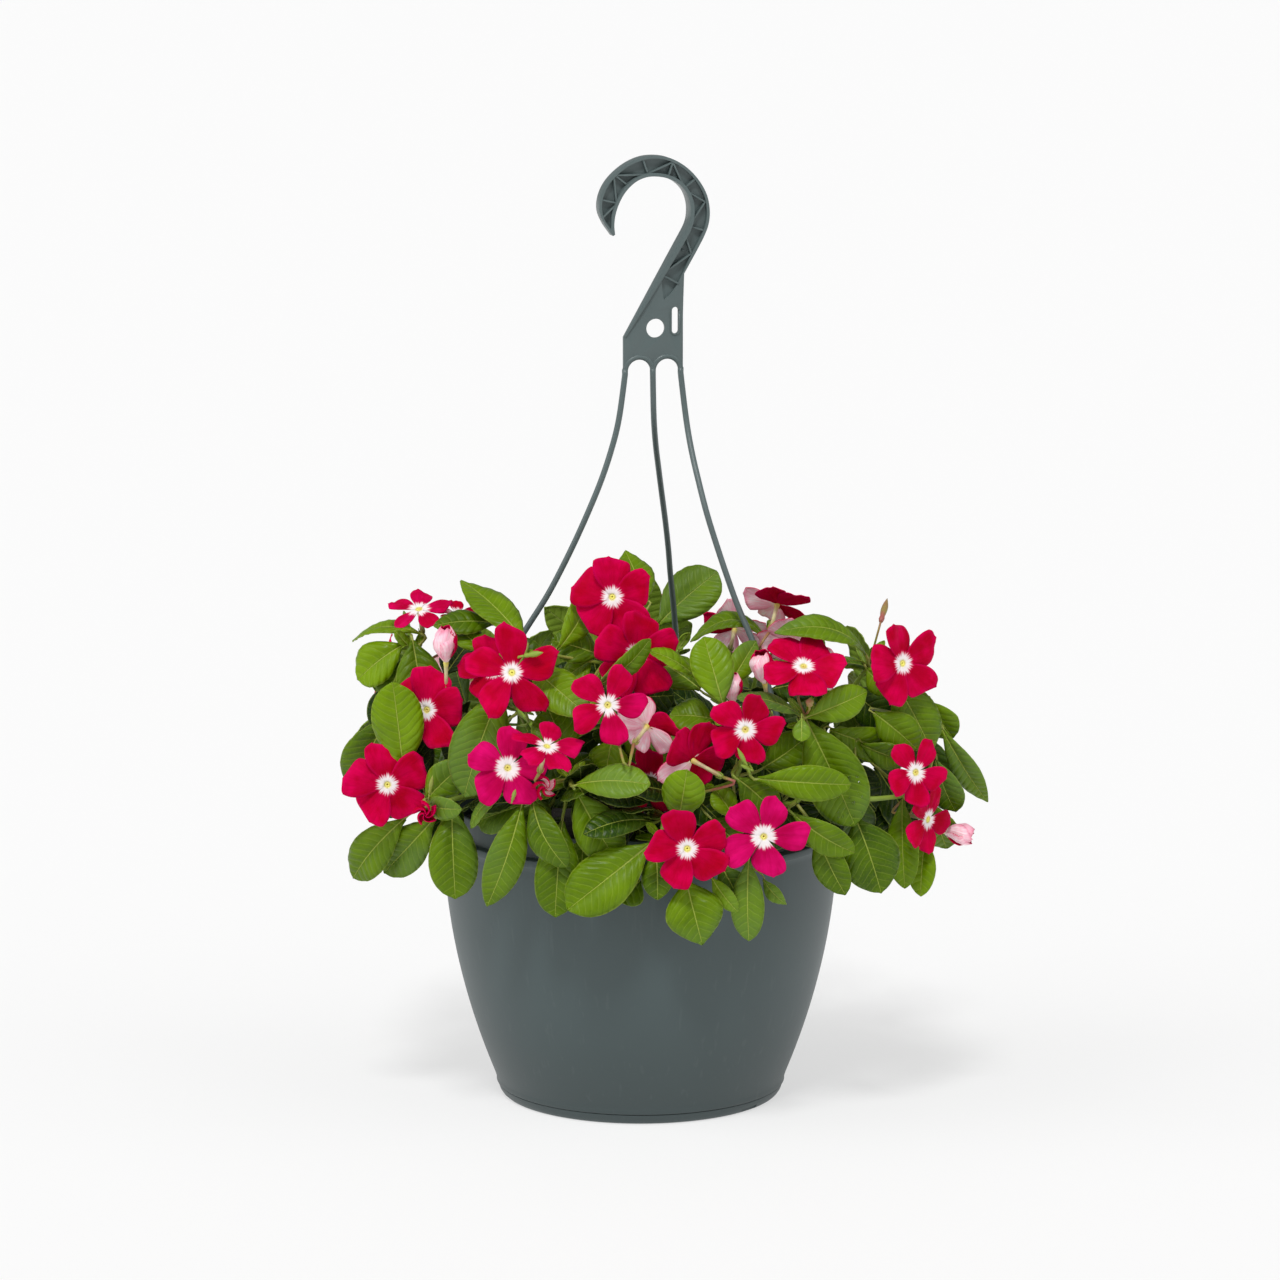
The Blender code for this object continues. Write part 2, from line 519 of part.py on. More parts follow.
def make_hanger():
    place = plate_matrix()
    half = HOOK_DEPTH / 2
    hanger = prism("hanger", hook_outline(), -half, half, place)
    thin = PLATE_THICK / 2
    behind = [(half + 4.0, 452.0), (half + 4.0, 552.0), (half, 549.0), (thin, 492.0), (thin, 452.0)]
    front = [(-half - 4.0, 452.0), (-thin, 452.0), (-thin, 504.0), (-half, 531.0), (-half - 4.0, 533.0)]
    side_on = place @ Matrix.Rotation(math.radians(90), 4, "Z")
    channel = prism("cutter", CHANNEL_OUTER + CHANNEL_INNER, -half - 3.0, -half + POCKET, place)
    boolean(hanger, channel, "DIFFERENCE")
    for wedge in (behind, front):
        boolean(hanger, prism("cutter", wedge, -48.0, 48.0, side_on), "DIFFERENCE")
    eye = []
    for degrees in range(0, 360, 30):
        angle = math.radians(degrees)
        eye.append((EYE_SHIFT + EYE_RADIUS * math.cos(angle), EYE_HEIGHT + EYE_RADIUS * math.sin(angle)))
    boolean(hanger, prism("cutter", eye, -9.0, 9.0, place), "DIFFERENCE")
    slit = [(12.1, 492.2), (14.3, 490.1), (16.5, 492.2), (16.5, 505.2), (14.3, 507.3), (12.1, 505.2)]
    boolean(hanger, prism("cutter", slit, -9.0, 9.0, place), "DIFFERENCE")
    parts = [rib(start, end, place) for start, end in RIBS]
    for foot in FEET:
        points = strand_points(foot)
        parts.append(shape_object("strand", tube(points, [STRAND] * len(points), STRAND_SIDES)))
    union(hanger, parts)
    paint(hanger, material("hanger_plastic", (0.075, 0.100, 0.102), 0.42))
    return hanger


def seen(right, up, back):
    """Point on the line of sight through (right, up) of the plane y = 0, so far behind the dome's front."""
    x0, deep, wide, z0, tall = DOME
    inside = 1.0 - ((right - x0) / wide) ** 2 - (max(0.0, up - z0) / tall) ** 2
    y = -deep * math.sqrt(max(inside, 0.05)) + back
    eye = Vector(EYE_POINT)
    aim = Vector((right, 0.0, up)) - eye
    return eye + aim * ((y - eye.y) / aim.y)


def polar(angle, radius, z):
    turn = math.radians(angle)
    return Vector((radius * math.sin(turn), -radius * math.cos(turn), z))


def smooth_path(points, count):
    """Evenly spaced points on a Catmull-Rom curve through the given points."""
    padded = [points[0] * 2 - points[1]] + points + [points[-1] * 2 - points[-2]]
    fine = []
    for i in range(1, len(padded) - 2):
        a, b, c, d = padded[i - 1:i + 3]
        for s in range(8):
            t = s / 8
            fine.append(0.5 * (2 * b + (c - a) * t + (2 * a - 5 * b + 4 * c - d) * t * t
                               + (3 * b - 3 * c + d - a) * t ** 3))
    fine.append(points[-1])
    lengths = [0.0]
    for a, b in zip(fine, fine[1:]):
        lengths.append(lengths[-1] + (b - a).length)
    result = []
    for k in range(count + 1):
        want = lengths[-1] * k / count
        i = min(next((j for j, v in enumerate(lengths) if v >= want), len(fine) - 1), len(fine) - 1)
        i = max(i, 1)
        share = (want - lengths[i - 1]) / max(lengths[i] - lengths[i - 1], 1e-6)
        result.append(fine[i - 1].lerp(fine[i], share))
    return result


def facing(turn, lift):
    a = math.radians(turn)
    b = math.radians(lift)
    return Vector((math.sin(a) * math.cos(b), -math.cos(a) * math.cos(b), math.sin(b)))


def bloom_frame(centre, look, roll):
    side = Vector((0, 0, 1)).cross(look)
    if side.length < 0.05:
        side = Vector((1, 0, 0))
    side.normalize()
    up = look.cross(side)
    turn = math.radians(roll)
    x = side * math.cos(turn) + up * math.sin(turn)
    y = look.cross(x)
    return Matrix((x, y, look)).transposed().to_4x4(), centre


def petal_point(radius, angle, slope):
    """Point of the petal surface at a distance from the bloom's axis."""
    throat = 2.4
    run = max(radius - throat, 0.0)
    r = throat + run * math.cos(slope)
    z = run * math.sin(slope)
    return Vector((r * math.cos(angle), r * math.sin(angle), z))


def bloom_shape(centre, look, roll, size, openness, full, thick, tail):
    """Five joined petals of even thickness with the tube behind them."""
    turn, origin = bloom_frame(centre, look, roll)
    slope = math.radians(6 + 74 * (1 - openness))
    wide = 0.55 + 0.45 * full
    outline = ((-36, 0.2 + 0.42 * full), (-26 * wide, 0.93), (1, 1.0), (26 * wide, 0.9))
    verts = []
    for side in (0, 1):
        for petal in range(5):
            angle = math.radians(72 * petal - 36)
            verts.append(petal_point(2.4, angle, slope) * (1 - 0.3 * side) + Vector((0, 0, -side * thick)))
        points = [(72 * petal, 0.5, slope * 1.15) for petal in range(5)]
        for petal in range(5):
            points += [(72 * petal + degrees, share, slope) for degrees, share in outline]
        for degrees, share, rise in points:
            angle = math.radians(degrees)
            lean = Vector((math.cos(angle) * math.sin(rise), math.sin(angle) * math.sin(rise),
                           -math.cos(rise)))
            verts.append(petal_point(share * size, angle, rise) + lean * side * thick)
    faces = []
    for side in (0, 1):
        start = 30 * side
        top = []
        for p in range(5):
            q = (p + 1) % 5
            middle = 5 + p
            rim = [10 + 4 * p + k for k in range(4)] + [10 + 4 * q]
            top += [(p, rim[0], rim[1]), (p, rim[1], middle), (p, middle, q), (middle, rim[1], rim[2])]
            top += [(middle, rim[2], rim[3]), (q, middle, rim[3]), (q, rim[3], rim[4])]
        for a, b, c in top:
            if side == 1:
                b, c = c, b
            faces.append((start + a, start + b, start + c))
    faces += [(0, 1, 2), (0, 2, 3), (0, 3, 4)]
    for k in range(20):
        a = 10 + k
        b = 10 + (k + 1) % 20
        faces.append((a, a + 30, b + 30))
        faces.append((a, b + 30, b))
    for k in range(5):
        angle = math.radians(72 * k - 36)
        verts.append(Vector((1.2 * math.cos(angle), 1.2 * math.sin(angle), -tail)))
    for k in range(5):
        n = (k + 1) % 5
        faces.append((30 + k, 60 + k, 60 + n))
        faces.append((30 + k, 60 + n, 30 + n))
    faces += [(60, 62, 61), (60, 63, 62), (60, 64, 63)]
    return [turn @ v + origin for v in verts], faces


def blade_stations(width):
    if width > 23:
        return ((0.0, 0.08), (0.2, 0.62), (0.5, 1.0), (0.82, 0.8), (1.0, 0.0))
    return ((0.0, 0.1), (0.36, 0.85), (0.76, 0.9), (1.0, 0.0))


def leaf_frame(base, tip, toward, roll):
    axis = (tip - base).normalized()
    normal = toward - axis * toward.dot(axis)
    if normal.length < 0.05:
        normal = axis.orthogonal()
    normal.normalize()
    return axis, Matrix.Rotation(math.radians(roll), 3, axis) @ normal


def leaf_shape(root, base, tip, width, toward, roll, arch, thick):
    """Arched blade of even thickness, whose stalk is sunk in the stem at root."""
    axis, normal = leaf_frame(base, tip, toward, roll)
    length = (tip - base).length
    rows = [(root, 0.8)]
    for t, share in blade_stations(width):
        point = base.lerp(tip, t) + normal * (4 * t * (1 - t) * arch * length)
        rows.append((point, max(share * width / 2, 0.9)))
    verts = []
    for i, (point, half) in enumerate(rows):
        ahead = (rows[min(i + 1, len(rows) - 1)][0] - rows[max(i - 1, 0)][0]).normalized()
        side = ahead.cross(normal).normalized()
        up = side.cross(ahead) * (thick / 2)
        if i == len(rows) - 1:
            verts += [point + up, point - up]
        else:
            verts += [point - side * half + up, point + side * half + up,
                      point + side * half - up, point - side * half - up]
    faces = [(0, 2, 1), (0, 3, 2)]
    for i in range(len(rows) - 2):
        a, b, c, d = (4 * i + k for k in range(4))
        e, f, g, h = (4 * i + 4 + k for k in range(4))
        faces += [(a, b, f), (a, f, e), (c, d, g), (d, h, g)]
        faces += [(b, c, g), (b, g, f), (d, a, e), (d, e, h)]
    a, b, c, d = (4 * (len(rows) - 2) + k for k in range(4))
    high, low = d + 1, d + 2
    faces += [(a, b, high), (c, d, low), (b, c, low), (b, low, high), (d, a, high), (d, high, low)]
    return verts, faces


def merged(shapes):
    verts = []
    faces = []
    for shape in shapes:
        start = len(verts)
        verts += shape[0]
        faces += [tuple(i + start for i in face) for face in shape[1]]
    return verts, faces


def tree_of(shapes):
    verts, faces = merged(shapes)
    return BVHTree.FromPolygons(verts, faces) if faces else None


def touches(shape, *trees):
    own = BVHTree.FromPolygons(shape[0], shape[1])
    return any(tree is not None and own.overlap(tree) for tree in trees)


def mesh_shape(item):
    item.data.calc_loop_triangles()
    verts = [v.co / MM for v in item.data.vertices]
    return verts, [tuple(t.vertices) for t in item.data.loop_triangles]


def nearest_on(path, point, back=0.0):
    """Point of a stem's path nearest to a point, or a little nearer the foot than that."""
    best = None
    for i, (a, b) in enumerate(zip(path[2:], path[3:])):
        span = b - a
        limit = 1.0 - 1.2 / span.length if b == path[-1] else 1.0
        share = min(limit, max(0.0, (point - a).dot(span) / span.length_squared - back / span.length))
        spot = a + span * share
        if best is None or (spot - point).length < (best - point).length:
            best = spot
    return best


def place_blooms(fixed, rows):
    """Blooms at their seen places, slid along the line of sight until each is clear."""
    placed = []
    for stem, centre, size, look, roll, openness, full in rows:
        rng = random.Random(100 + len(placed))
        tail = TUBE_LENGTH * size / 27
        tree = tree_of([fixed] + [b["shape"] for b in placed])
        for k in range(TRIES):
            spread = k / TRIES
            slide = rng.uniform(-1, 1) * 60 * spread
            sway = rng.uniform(-1, 1) * 30 * spread
            lift = rng.uniform(-1, 1) * 30 * spread
            move = (rng.uniform(-1, 1) * 8 * spread, rng.uniform(-1, 1) * 8 * spread)
            if isinstance(centre, Vector):
                spot = centre + Vector((move[0], slide * 0.5, move[1]))
            else:
                spot = seen(centre[0] + move[0], centre[1] + move[1], centre[2] + slide)
            gaze = facing(look[0] + sway, look[1] + lift)
            wide = bloom_shape(spot, gaze, roll, size + 0.6, openness, full, PETAL + 1.0, tail + 1.0)
            if not touches(wide, tree):
                break
        else:
            print("bloom not clear", stem, centre)
        shape = bloom_shape(spot, gaze, roll, size, openness, full, PETAL, tail)
        placed.append({"stem": stem, "spot": spot, "gaze": gaze, "roll": roll, "size": size,
                       "open": openness, "full": full, "shape": shape, "end": spot - gaze * tail})
    return placed


def stem_route(hole, crown, lower):
    foot = polar(hole[0], hole[1], SOIL_TOP)
    points = [foot + Vector((0, 0, 6))]
    goal = lower if lower is not None else crown
    reach = math.hypot(goal.x, goal.y)
    angle = math.degrees(math.atan2(goal.x, -goal.y))
    if goal.z < 226 and reach > 112:
        points.append(polar(hole[0] * 0.4 + angle * 0.6, 110, 206))
        if goal.z < 200:
            points.append(polar(angle, 133, 207))
    else:
        points.append(foot.lerp(goal, 0.45) + Vector((0, 0, 10)))
    if lower is not None:
        points.append(lower)
        if crown.z > lower.z + 30:
            points.append(lower.lerp(crown, 0.5) + polar(angle, 5, 0))
    points.append(crown)
    return points


def place_stems(fixed, blooms, rows):
    """Stem paths from their holes to their crowns, bent until each is clear."""
    paths = {}
    shapes = {}
    for name, hole, crown, lower in rows:
        rng = random.Random(200 + len(paths))
        tree = tree_of([fixed] + [b["shape"] for b in blooms] + list(shapes.values()))
        route = stem_route(hole, crown, lower)
        for k in range(TRIES):
            spread = 34 * k / TRIES
            bent = [p.copy() for p in route]
            for p in bent[1:]:
                p += Vector([rng.uniform(-1, 1) * spread for _ in range(3)])
            path = [bent[0] - Vector((0, 0, 15))] + smooth_path(bent, 5)
            radii = [STEM_FOOT + (STEM_END - STEM_FOOT) * i / 6 for i in range(7)]
            if not touches(tube(path, [r + 0.9 for r in radii], STEM_SIDES), tree):
                break
        else:
            print("stem not clear", name)
        paths[name] = path
        shapes[name] = tube(path, radii, STEM_SIDES)
    return paths, shapes


def place_stalks(fixed, blooms, paths, stems):
    """Short stalks from each stem to the tube ends of its blooms."""
    stalks = {name: [] for name in paths}
    for index, bloom in enumerate(blooms):
        rng = random.Random(300 + index)
        name = bloom["stem"]
        others = [s for n, s in stems.items() if n != name]
        others += [s for n, group in stalks.items() if n != name for s in group]
        tree = tree_of([fixed] + others + [b["shape"] for b in blooms])
        goal = bloom["end"] - bloom["gaze"] * (CLEAR + 0.1)
        for k in range(TRIES):
            spread = 30 * k / TRIES
            root = nearest_on(paths[name], goal + Vector([rng.uniform(-1, 1) * spread for _ in range(3)]))
            bend = goal - bloom["gaze"] * min(8.0, 0.4 * (goal - root).length)
            bend += Vector([rng.uniform(-1, 1) * spread * 0.6 for _ in range(3)])
            points = [root, bend, goal]
            if not touches(tube(points, [1.5, 1.4, 1.8], 3), tree):
                break
        else:
            print("stalk not clear", name, [round(c) for c in goal])
        stalks[name].append(tube(points, [1.1, 1.0, 1.4], 3))
    return stalks


def place_leaves(fixed, blooms, paths, stems, stalks, rows):
    """Leaves bent clear of all that is placed before them."""
    leaves = {name: [] for name in paths}
    for index, (name, base, tip, width, roll, arch, toward) in enumerate(rows):
        rng = random.Random(400 + index)
        others = [s for n, s in stems.items() if n != name]
        others += [s for n, group in stalks.items() if n != name for s in group]
        others += [leaf["shape"] for n, group in leaves.items() if n != name for leaf in group]
        tree = tree_of([fixed] + others + [b["shape"] for b in blooms])
        own = tree_of([leaf["blade"] for leaf in leaves[name]])
        for k in range(TRIES):
            s = k / TRIES
            slide = (rng.uniform(-1, 1) * 30 * s, rng.uniform(-1, 1) * 70 * s)
            move = [rng.uniform(-1, 1) * 14 * s for _ in range(4)]
            spin = rng.uniform(-1, 1) * 60 * s
            if isinstance(base, Vector):
                low = base + Vector((move[0], slide[0], move[1]))
                high = tip + Vector((move[2], slide[1], move[3]))
            else:
                low = seen(base[0] + move[0], base[1] + move[1], base[2] + slide[0])
                high = seen(tip[0] + move[2], tip[1] + move[3], tip[2] + slide[1])
            view = toward
            if view is None:
                view = (Vector(EYE_POINT) - low).normalized() + Vector((0, 0, 0.3))
            root = nearest_on(paths[name], low, 3.2 * (len(leaves[name]) % 5))
            data = (root, low, high, width, view, roll + spin, arch)
            wide = leaf_shape(*data[:3], width + 0.6, *data[4:], BLADE + 0.9)
            blade = leaf_shape(low, low.lerp(high, 0.12), high, width, view, roll + spin, arch, BLADE)
            if touches(wide, tree):
                continue
            if s < 0.6 and own is not None and touches(blade, own):
                continue
            break
        else:
            print("leaf not clear", name, base, tip)
            if width < 20:
                continue
        leaves[name].append({"data": data, "blade": blade, "shape": leaf_shape(*data, BLADE)})
    return leaves


def place_buds(paths, rows):
    """Rolled buds, each a turned drop with its own short stalk sunk in the stem."""
    made = {name: [] for name in paths}
    for name, centre, size, look in rows:
        spot = seen(*centre)
        gaze = facing(*look)
        root = nearest_on(paths[name], spot - gaze * 14)
        points = [root, spot - gaze * 14, spot - gaze * 4, spot, spot + gaze * 2.4]
        made[name].append(tube(points, [0.9, 1.0, 1.6, size, size * 0.45], 7))
    return made


def back_rows(rng):
    """Stems, leaves and blooms round the back and sides, from the seeded draw."""
    stems = []
    leaves = []
    blooms = []
    for name, hole, crown, leaf_count, bloom_count in BACK_STEMS:
        top = polar(*crown)
        out = polar(crown[0], 1, 0)
        side = polar(crown[0] + 90, 1, 0)
        stems.append((name, hole, top, None))
        for k in range(bloom_count):
            lift = 26 - 50 * k
            spread = rng.uniform(-22, 22)
            spot = top + out * 30 + side * spread + Vector((0, 0, lift))
            look = (crown[0] + rng.uniform(-25, 25), 14)
            blooms.append((name, spot, 26, look, rng.uniform(0, 72), 1.0, 0.8))
        for k in range(leaf_count):
            way = 2 * math.pi * (k + rng.uniform(-0.2, 0.2)) / leaf_count
            length = rng.uniform(52, 68)
            reach = side * math.cos(way) + Vector((0, 0, math.sin(way)))
            base = top + reach * 6 + out * 2
            tip = base + (reach + out * rng.uniform(-0.1, 0.5)).normalized() * length
            view = out + Vector((0, 0, 0.5))
            leaves.append((name, base, tip, rng.uniform(26, 34), rng.uniform(-20, 20), 0.1, view))
    return stems, leaves, blooms


def make_plants(fixed):
    """Every bloom, stem, stalk, bud and leaf, laid out front first and then the back."""
    back_stems, back_leaves, back_blooms = back_rows(random.Random(17))
    blooms = place_blooms(fixed, list(BLOOMS) + back_blooms)
    rows = [(name, hole, seen(*crown), seen(*lower) if lower else None)
            for name, hole, crown, lower in STEMS]
    paths, stems = place_stems(fixed, blooms, rows + back_stems)
    buds = place_buds(paths, BUDS)
    stalks = place_stalks(fixed, blooms, paths, stems)
    for name, group in buds.items():
        stalks[name] += group
    leaf_rows = [(*row, None) for row in LEAVES] + back_leaves
    leaves = place_leaves(fixed, blooms, paths, stems, stalks, leaf_rows)
    return blooms, paths, stems, stalks, leaves


def is_closed(bm):
    return all(len(edge.link_faces) == 2 for edge in bm.edges)


def merge_flat(item):
    """Rejoin the flat faces that a union has split, and close up its finest slivers."""
    for shortest in (0.06, 0.03, 0.01):
        bm = bmesh.new()
        bm.from_mesh(item.data)
        bmesh.ops.dissolve_limit(bm, angle_limit=math.radians(0.3), verts=bm.verts, edges=bm.edges)
        bmesh.ops.triangulate(bm, faces=bm.faces)
        bmesh.ops.dissolve_degenerate(bm, dist=shortest * MM, edges=bm.edges)
        bmesh.ops.triangulate(bm, faces=bm.faces)
        if is_closed(bm):
            bm.to_mesh(item.data)
            bm.free()
            return
        bm.free()


def make_stem_objects(stems, stalks, leaves):
    green = material("leaf_green", (0.130, 0.260, 0.020), 0.45)
    for name, shape in stems.items():
        item = shape_object("stem_" + name, shape)
        extra = [shape_object("stalk", s) for s in stalks[name]]
        extra += [shape_object("leaf", leaf["shape"]) for leaf in leaves[name]]
        union(item, extra, "MANIFOLD")
        merge_flat(item)
        surface = green.copy()
        surface.name = "leaf_" + name
        paint(item, surface)


def make_bloom_objects(blooms):
    for k, bloom in enumerate(blooms):
        item = shape_object("bloom_%02d" % (k + 1), bloom["shape"])
        paint(item, material("petal_%02d" % (k + 1), (0.560, 0.008, 0.080), 0.5))


def round_shading(items):
    for item in items:
        item.data.shade_smooth()
        item.data.set_sharp_from_angle(angle=math.radians(32))


def build():
    clear_scene()
    pot = make_pot()
    saucer = make_saucer()
    hanger = make_hanger()
    all_stems = [row[1] for row in STEMS] + [row[1] for row in BACK_STEMS]
    feet = [polar(angle, radius, 0) for angle, radius in all_stems]
    soil = make_soil([(p.x, p.y) for p in feet])
    fixed = merged([mesh_shape(item) for item in (pot, hanger, soil)])
    blooms, paths, stems, stalks, leaves = make_plants(fixed)
    make_stem_objects(stems, stalks, leaves)
    make_bloom_objects(blooms)
    round_shading([pot, saucer, hanger])


build()
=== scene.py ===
"""Dressed model of a hanging pot of Madagascar periwinkle: leafy stems with veined
leaves, crimson and magenta blooms with white eyes, a slate-green plastic pot with its
drip saucer, and the one-piece plastic hanger. Lengths are in millimetres until a mesh
is made, and are scaled to metres by MM there."""
import math
import random

import bmesh
import bpy
from mathutils import Matrix, Vector, noise
from mathutils.bvhtree import BVHTree


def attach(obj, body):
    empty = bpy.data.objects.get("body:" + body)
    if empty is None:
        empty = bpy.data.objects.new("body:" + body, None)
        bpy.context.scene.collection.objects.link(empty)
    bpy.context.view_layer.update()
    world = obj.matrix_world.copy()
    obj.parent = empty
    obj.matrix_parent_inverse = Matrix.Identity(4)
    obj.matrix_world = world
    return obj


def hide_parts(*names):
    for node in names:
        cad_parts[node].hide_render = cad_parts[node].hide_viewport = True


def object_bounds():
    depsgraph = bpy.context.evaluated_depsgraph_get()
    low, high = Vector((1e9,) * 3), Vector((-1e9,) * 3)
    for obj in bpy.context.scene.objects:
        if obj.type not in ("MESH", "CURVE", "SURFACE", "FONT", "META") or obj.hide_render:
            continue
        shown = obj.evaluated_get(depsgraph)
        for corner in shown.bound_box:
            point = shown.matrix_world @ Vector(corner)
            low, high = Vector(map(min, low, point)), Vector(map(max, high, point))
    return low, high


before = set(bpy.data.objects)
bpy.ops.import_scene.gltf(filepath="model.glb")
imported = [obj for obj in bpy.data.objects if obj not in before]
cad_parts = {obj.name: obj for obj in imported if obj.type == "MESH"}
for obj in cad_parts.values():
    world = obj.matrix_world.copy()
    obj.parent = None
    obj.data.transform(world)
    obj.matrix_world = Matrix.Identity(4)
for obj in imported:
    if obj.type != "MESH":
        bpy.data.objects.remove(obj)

CAD_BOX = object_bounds()
MM = 0.001

# Foliage: where it is seen from, thicknesses, and sizes of its round parts
EYE_POINT = (0.0, -3400.0, 920.0)
SOIL_TOP = 174.0
CLEAR = 0.3
BLADE = 0.7
SMALL_BLADE = BLADE + 0.6
PETAL = 0.7
LEAF_SHEET = 0.5
PETAL_SHEET = 0.42
TUBE_LENGTH = 23.0
STEM_SIDES = 5
STEM_FOOT = 2.3
STEM_END = 1.3
# Draws before a piece that can't be set clear is left where it is, or left out
TRIES = 260
SHADE_TRIES = 120
FILLER_TRIES = 90
# Leaves from the lower joints, painted dark as shade, and young tip leaves of each stem, and the row of the
# leaf that carries water
FILLERS = 8
TUFT = 5
WET_LEAF = 57
# The mound's front: middle, depth, half width, height of its widest part and rise above that
DOME = (15.0, 165.0, 220.0, 215.0, 165.0)

# Stems: name, hole (angle from the front towards +X, radius), crown (right, up, back)
# and an optional lower node that the stem passes through.
STEMS = (
    ("left_high", (-80, 62), (-146, 288, 34), None),
    ("left_low", (-62, 92), (-156, 232, 36), (-140, 188, 26)),
    ("left_inner", (-48, 48), (-80, 276, 32), None),
    ("front_left", (-38, 92), (-74, 190, 18), None),
    ("front_mid_left", (-22, 70), (-45, 204, 26), None),
    ("centre_top", (-20, 30), (-24, 280, 46), None),
    ("top_back", (120, 34), (22, 286, 215), None),
    ("mid_right", (14, 62), (54, 254, 26), (66, 208, 24)),
    ("front_mid", (-4, 94), (12, 158, 20), None),
    ("centre_front", (8, 84), (24, 202, 34), None),
    ("front_right", (28, 96), (64, 148, 22), None),
    ("right_high", (44, 68), (105, 246, 22), (104, 190, 22)),
    ("right_top_back", (86, 54), (78, 286, 116), None),
    ("far_right_top", (84, 84), (146, 278, 36), None),
    ("far_right", (68, 82), (176, 250, 40), None),
    ("right_low", (58, 100), (182, 196, 34), (146, 190, 30)),
)

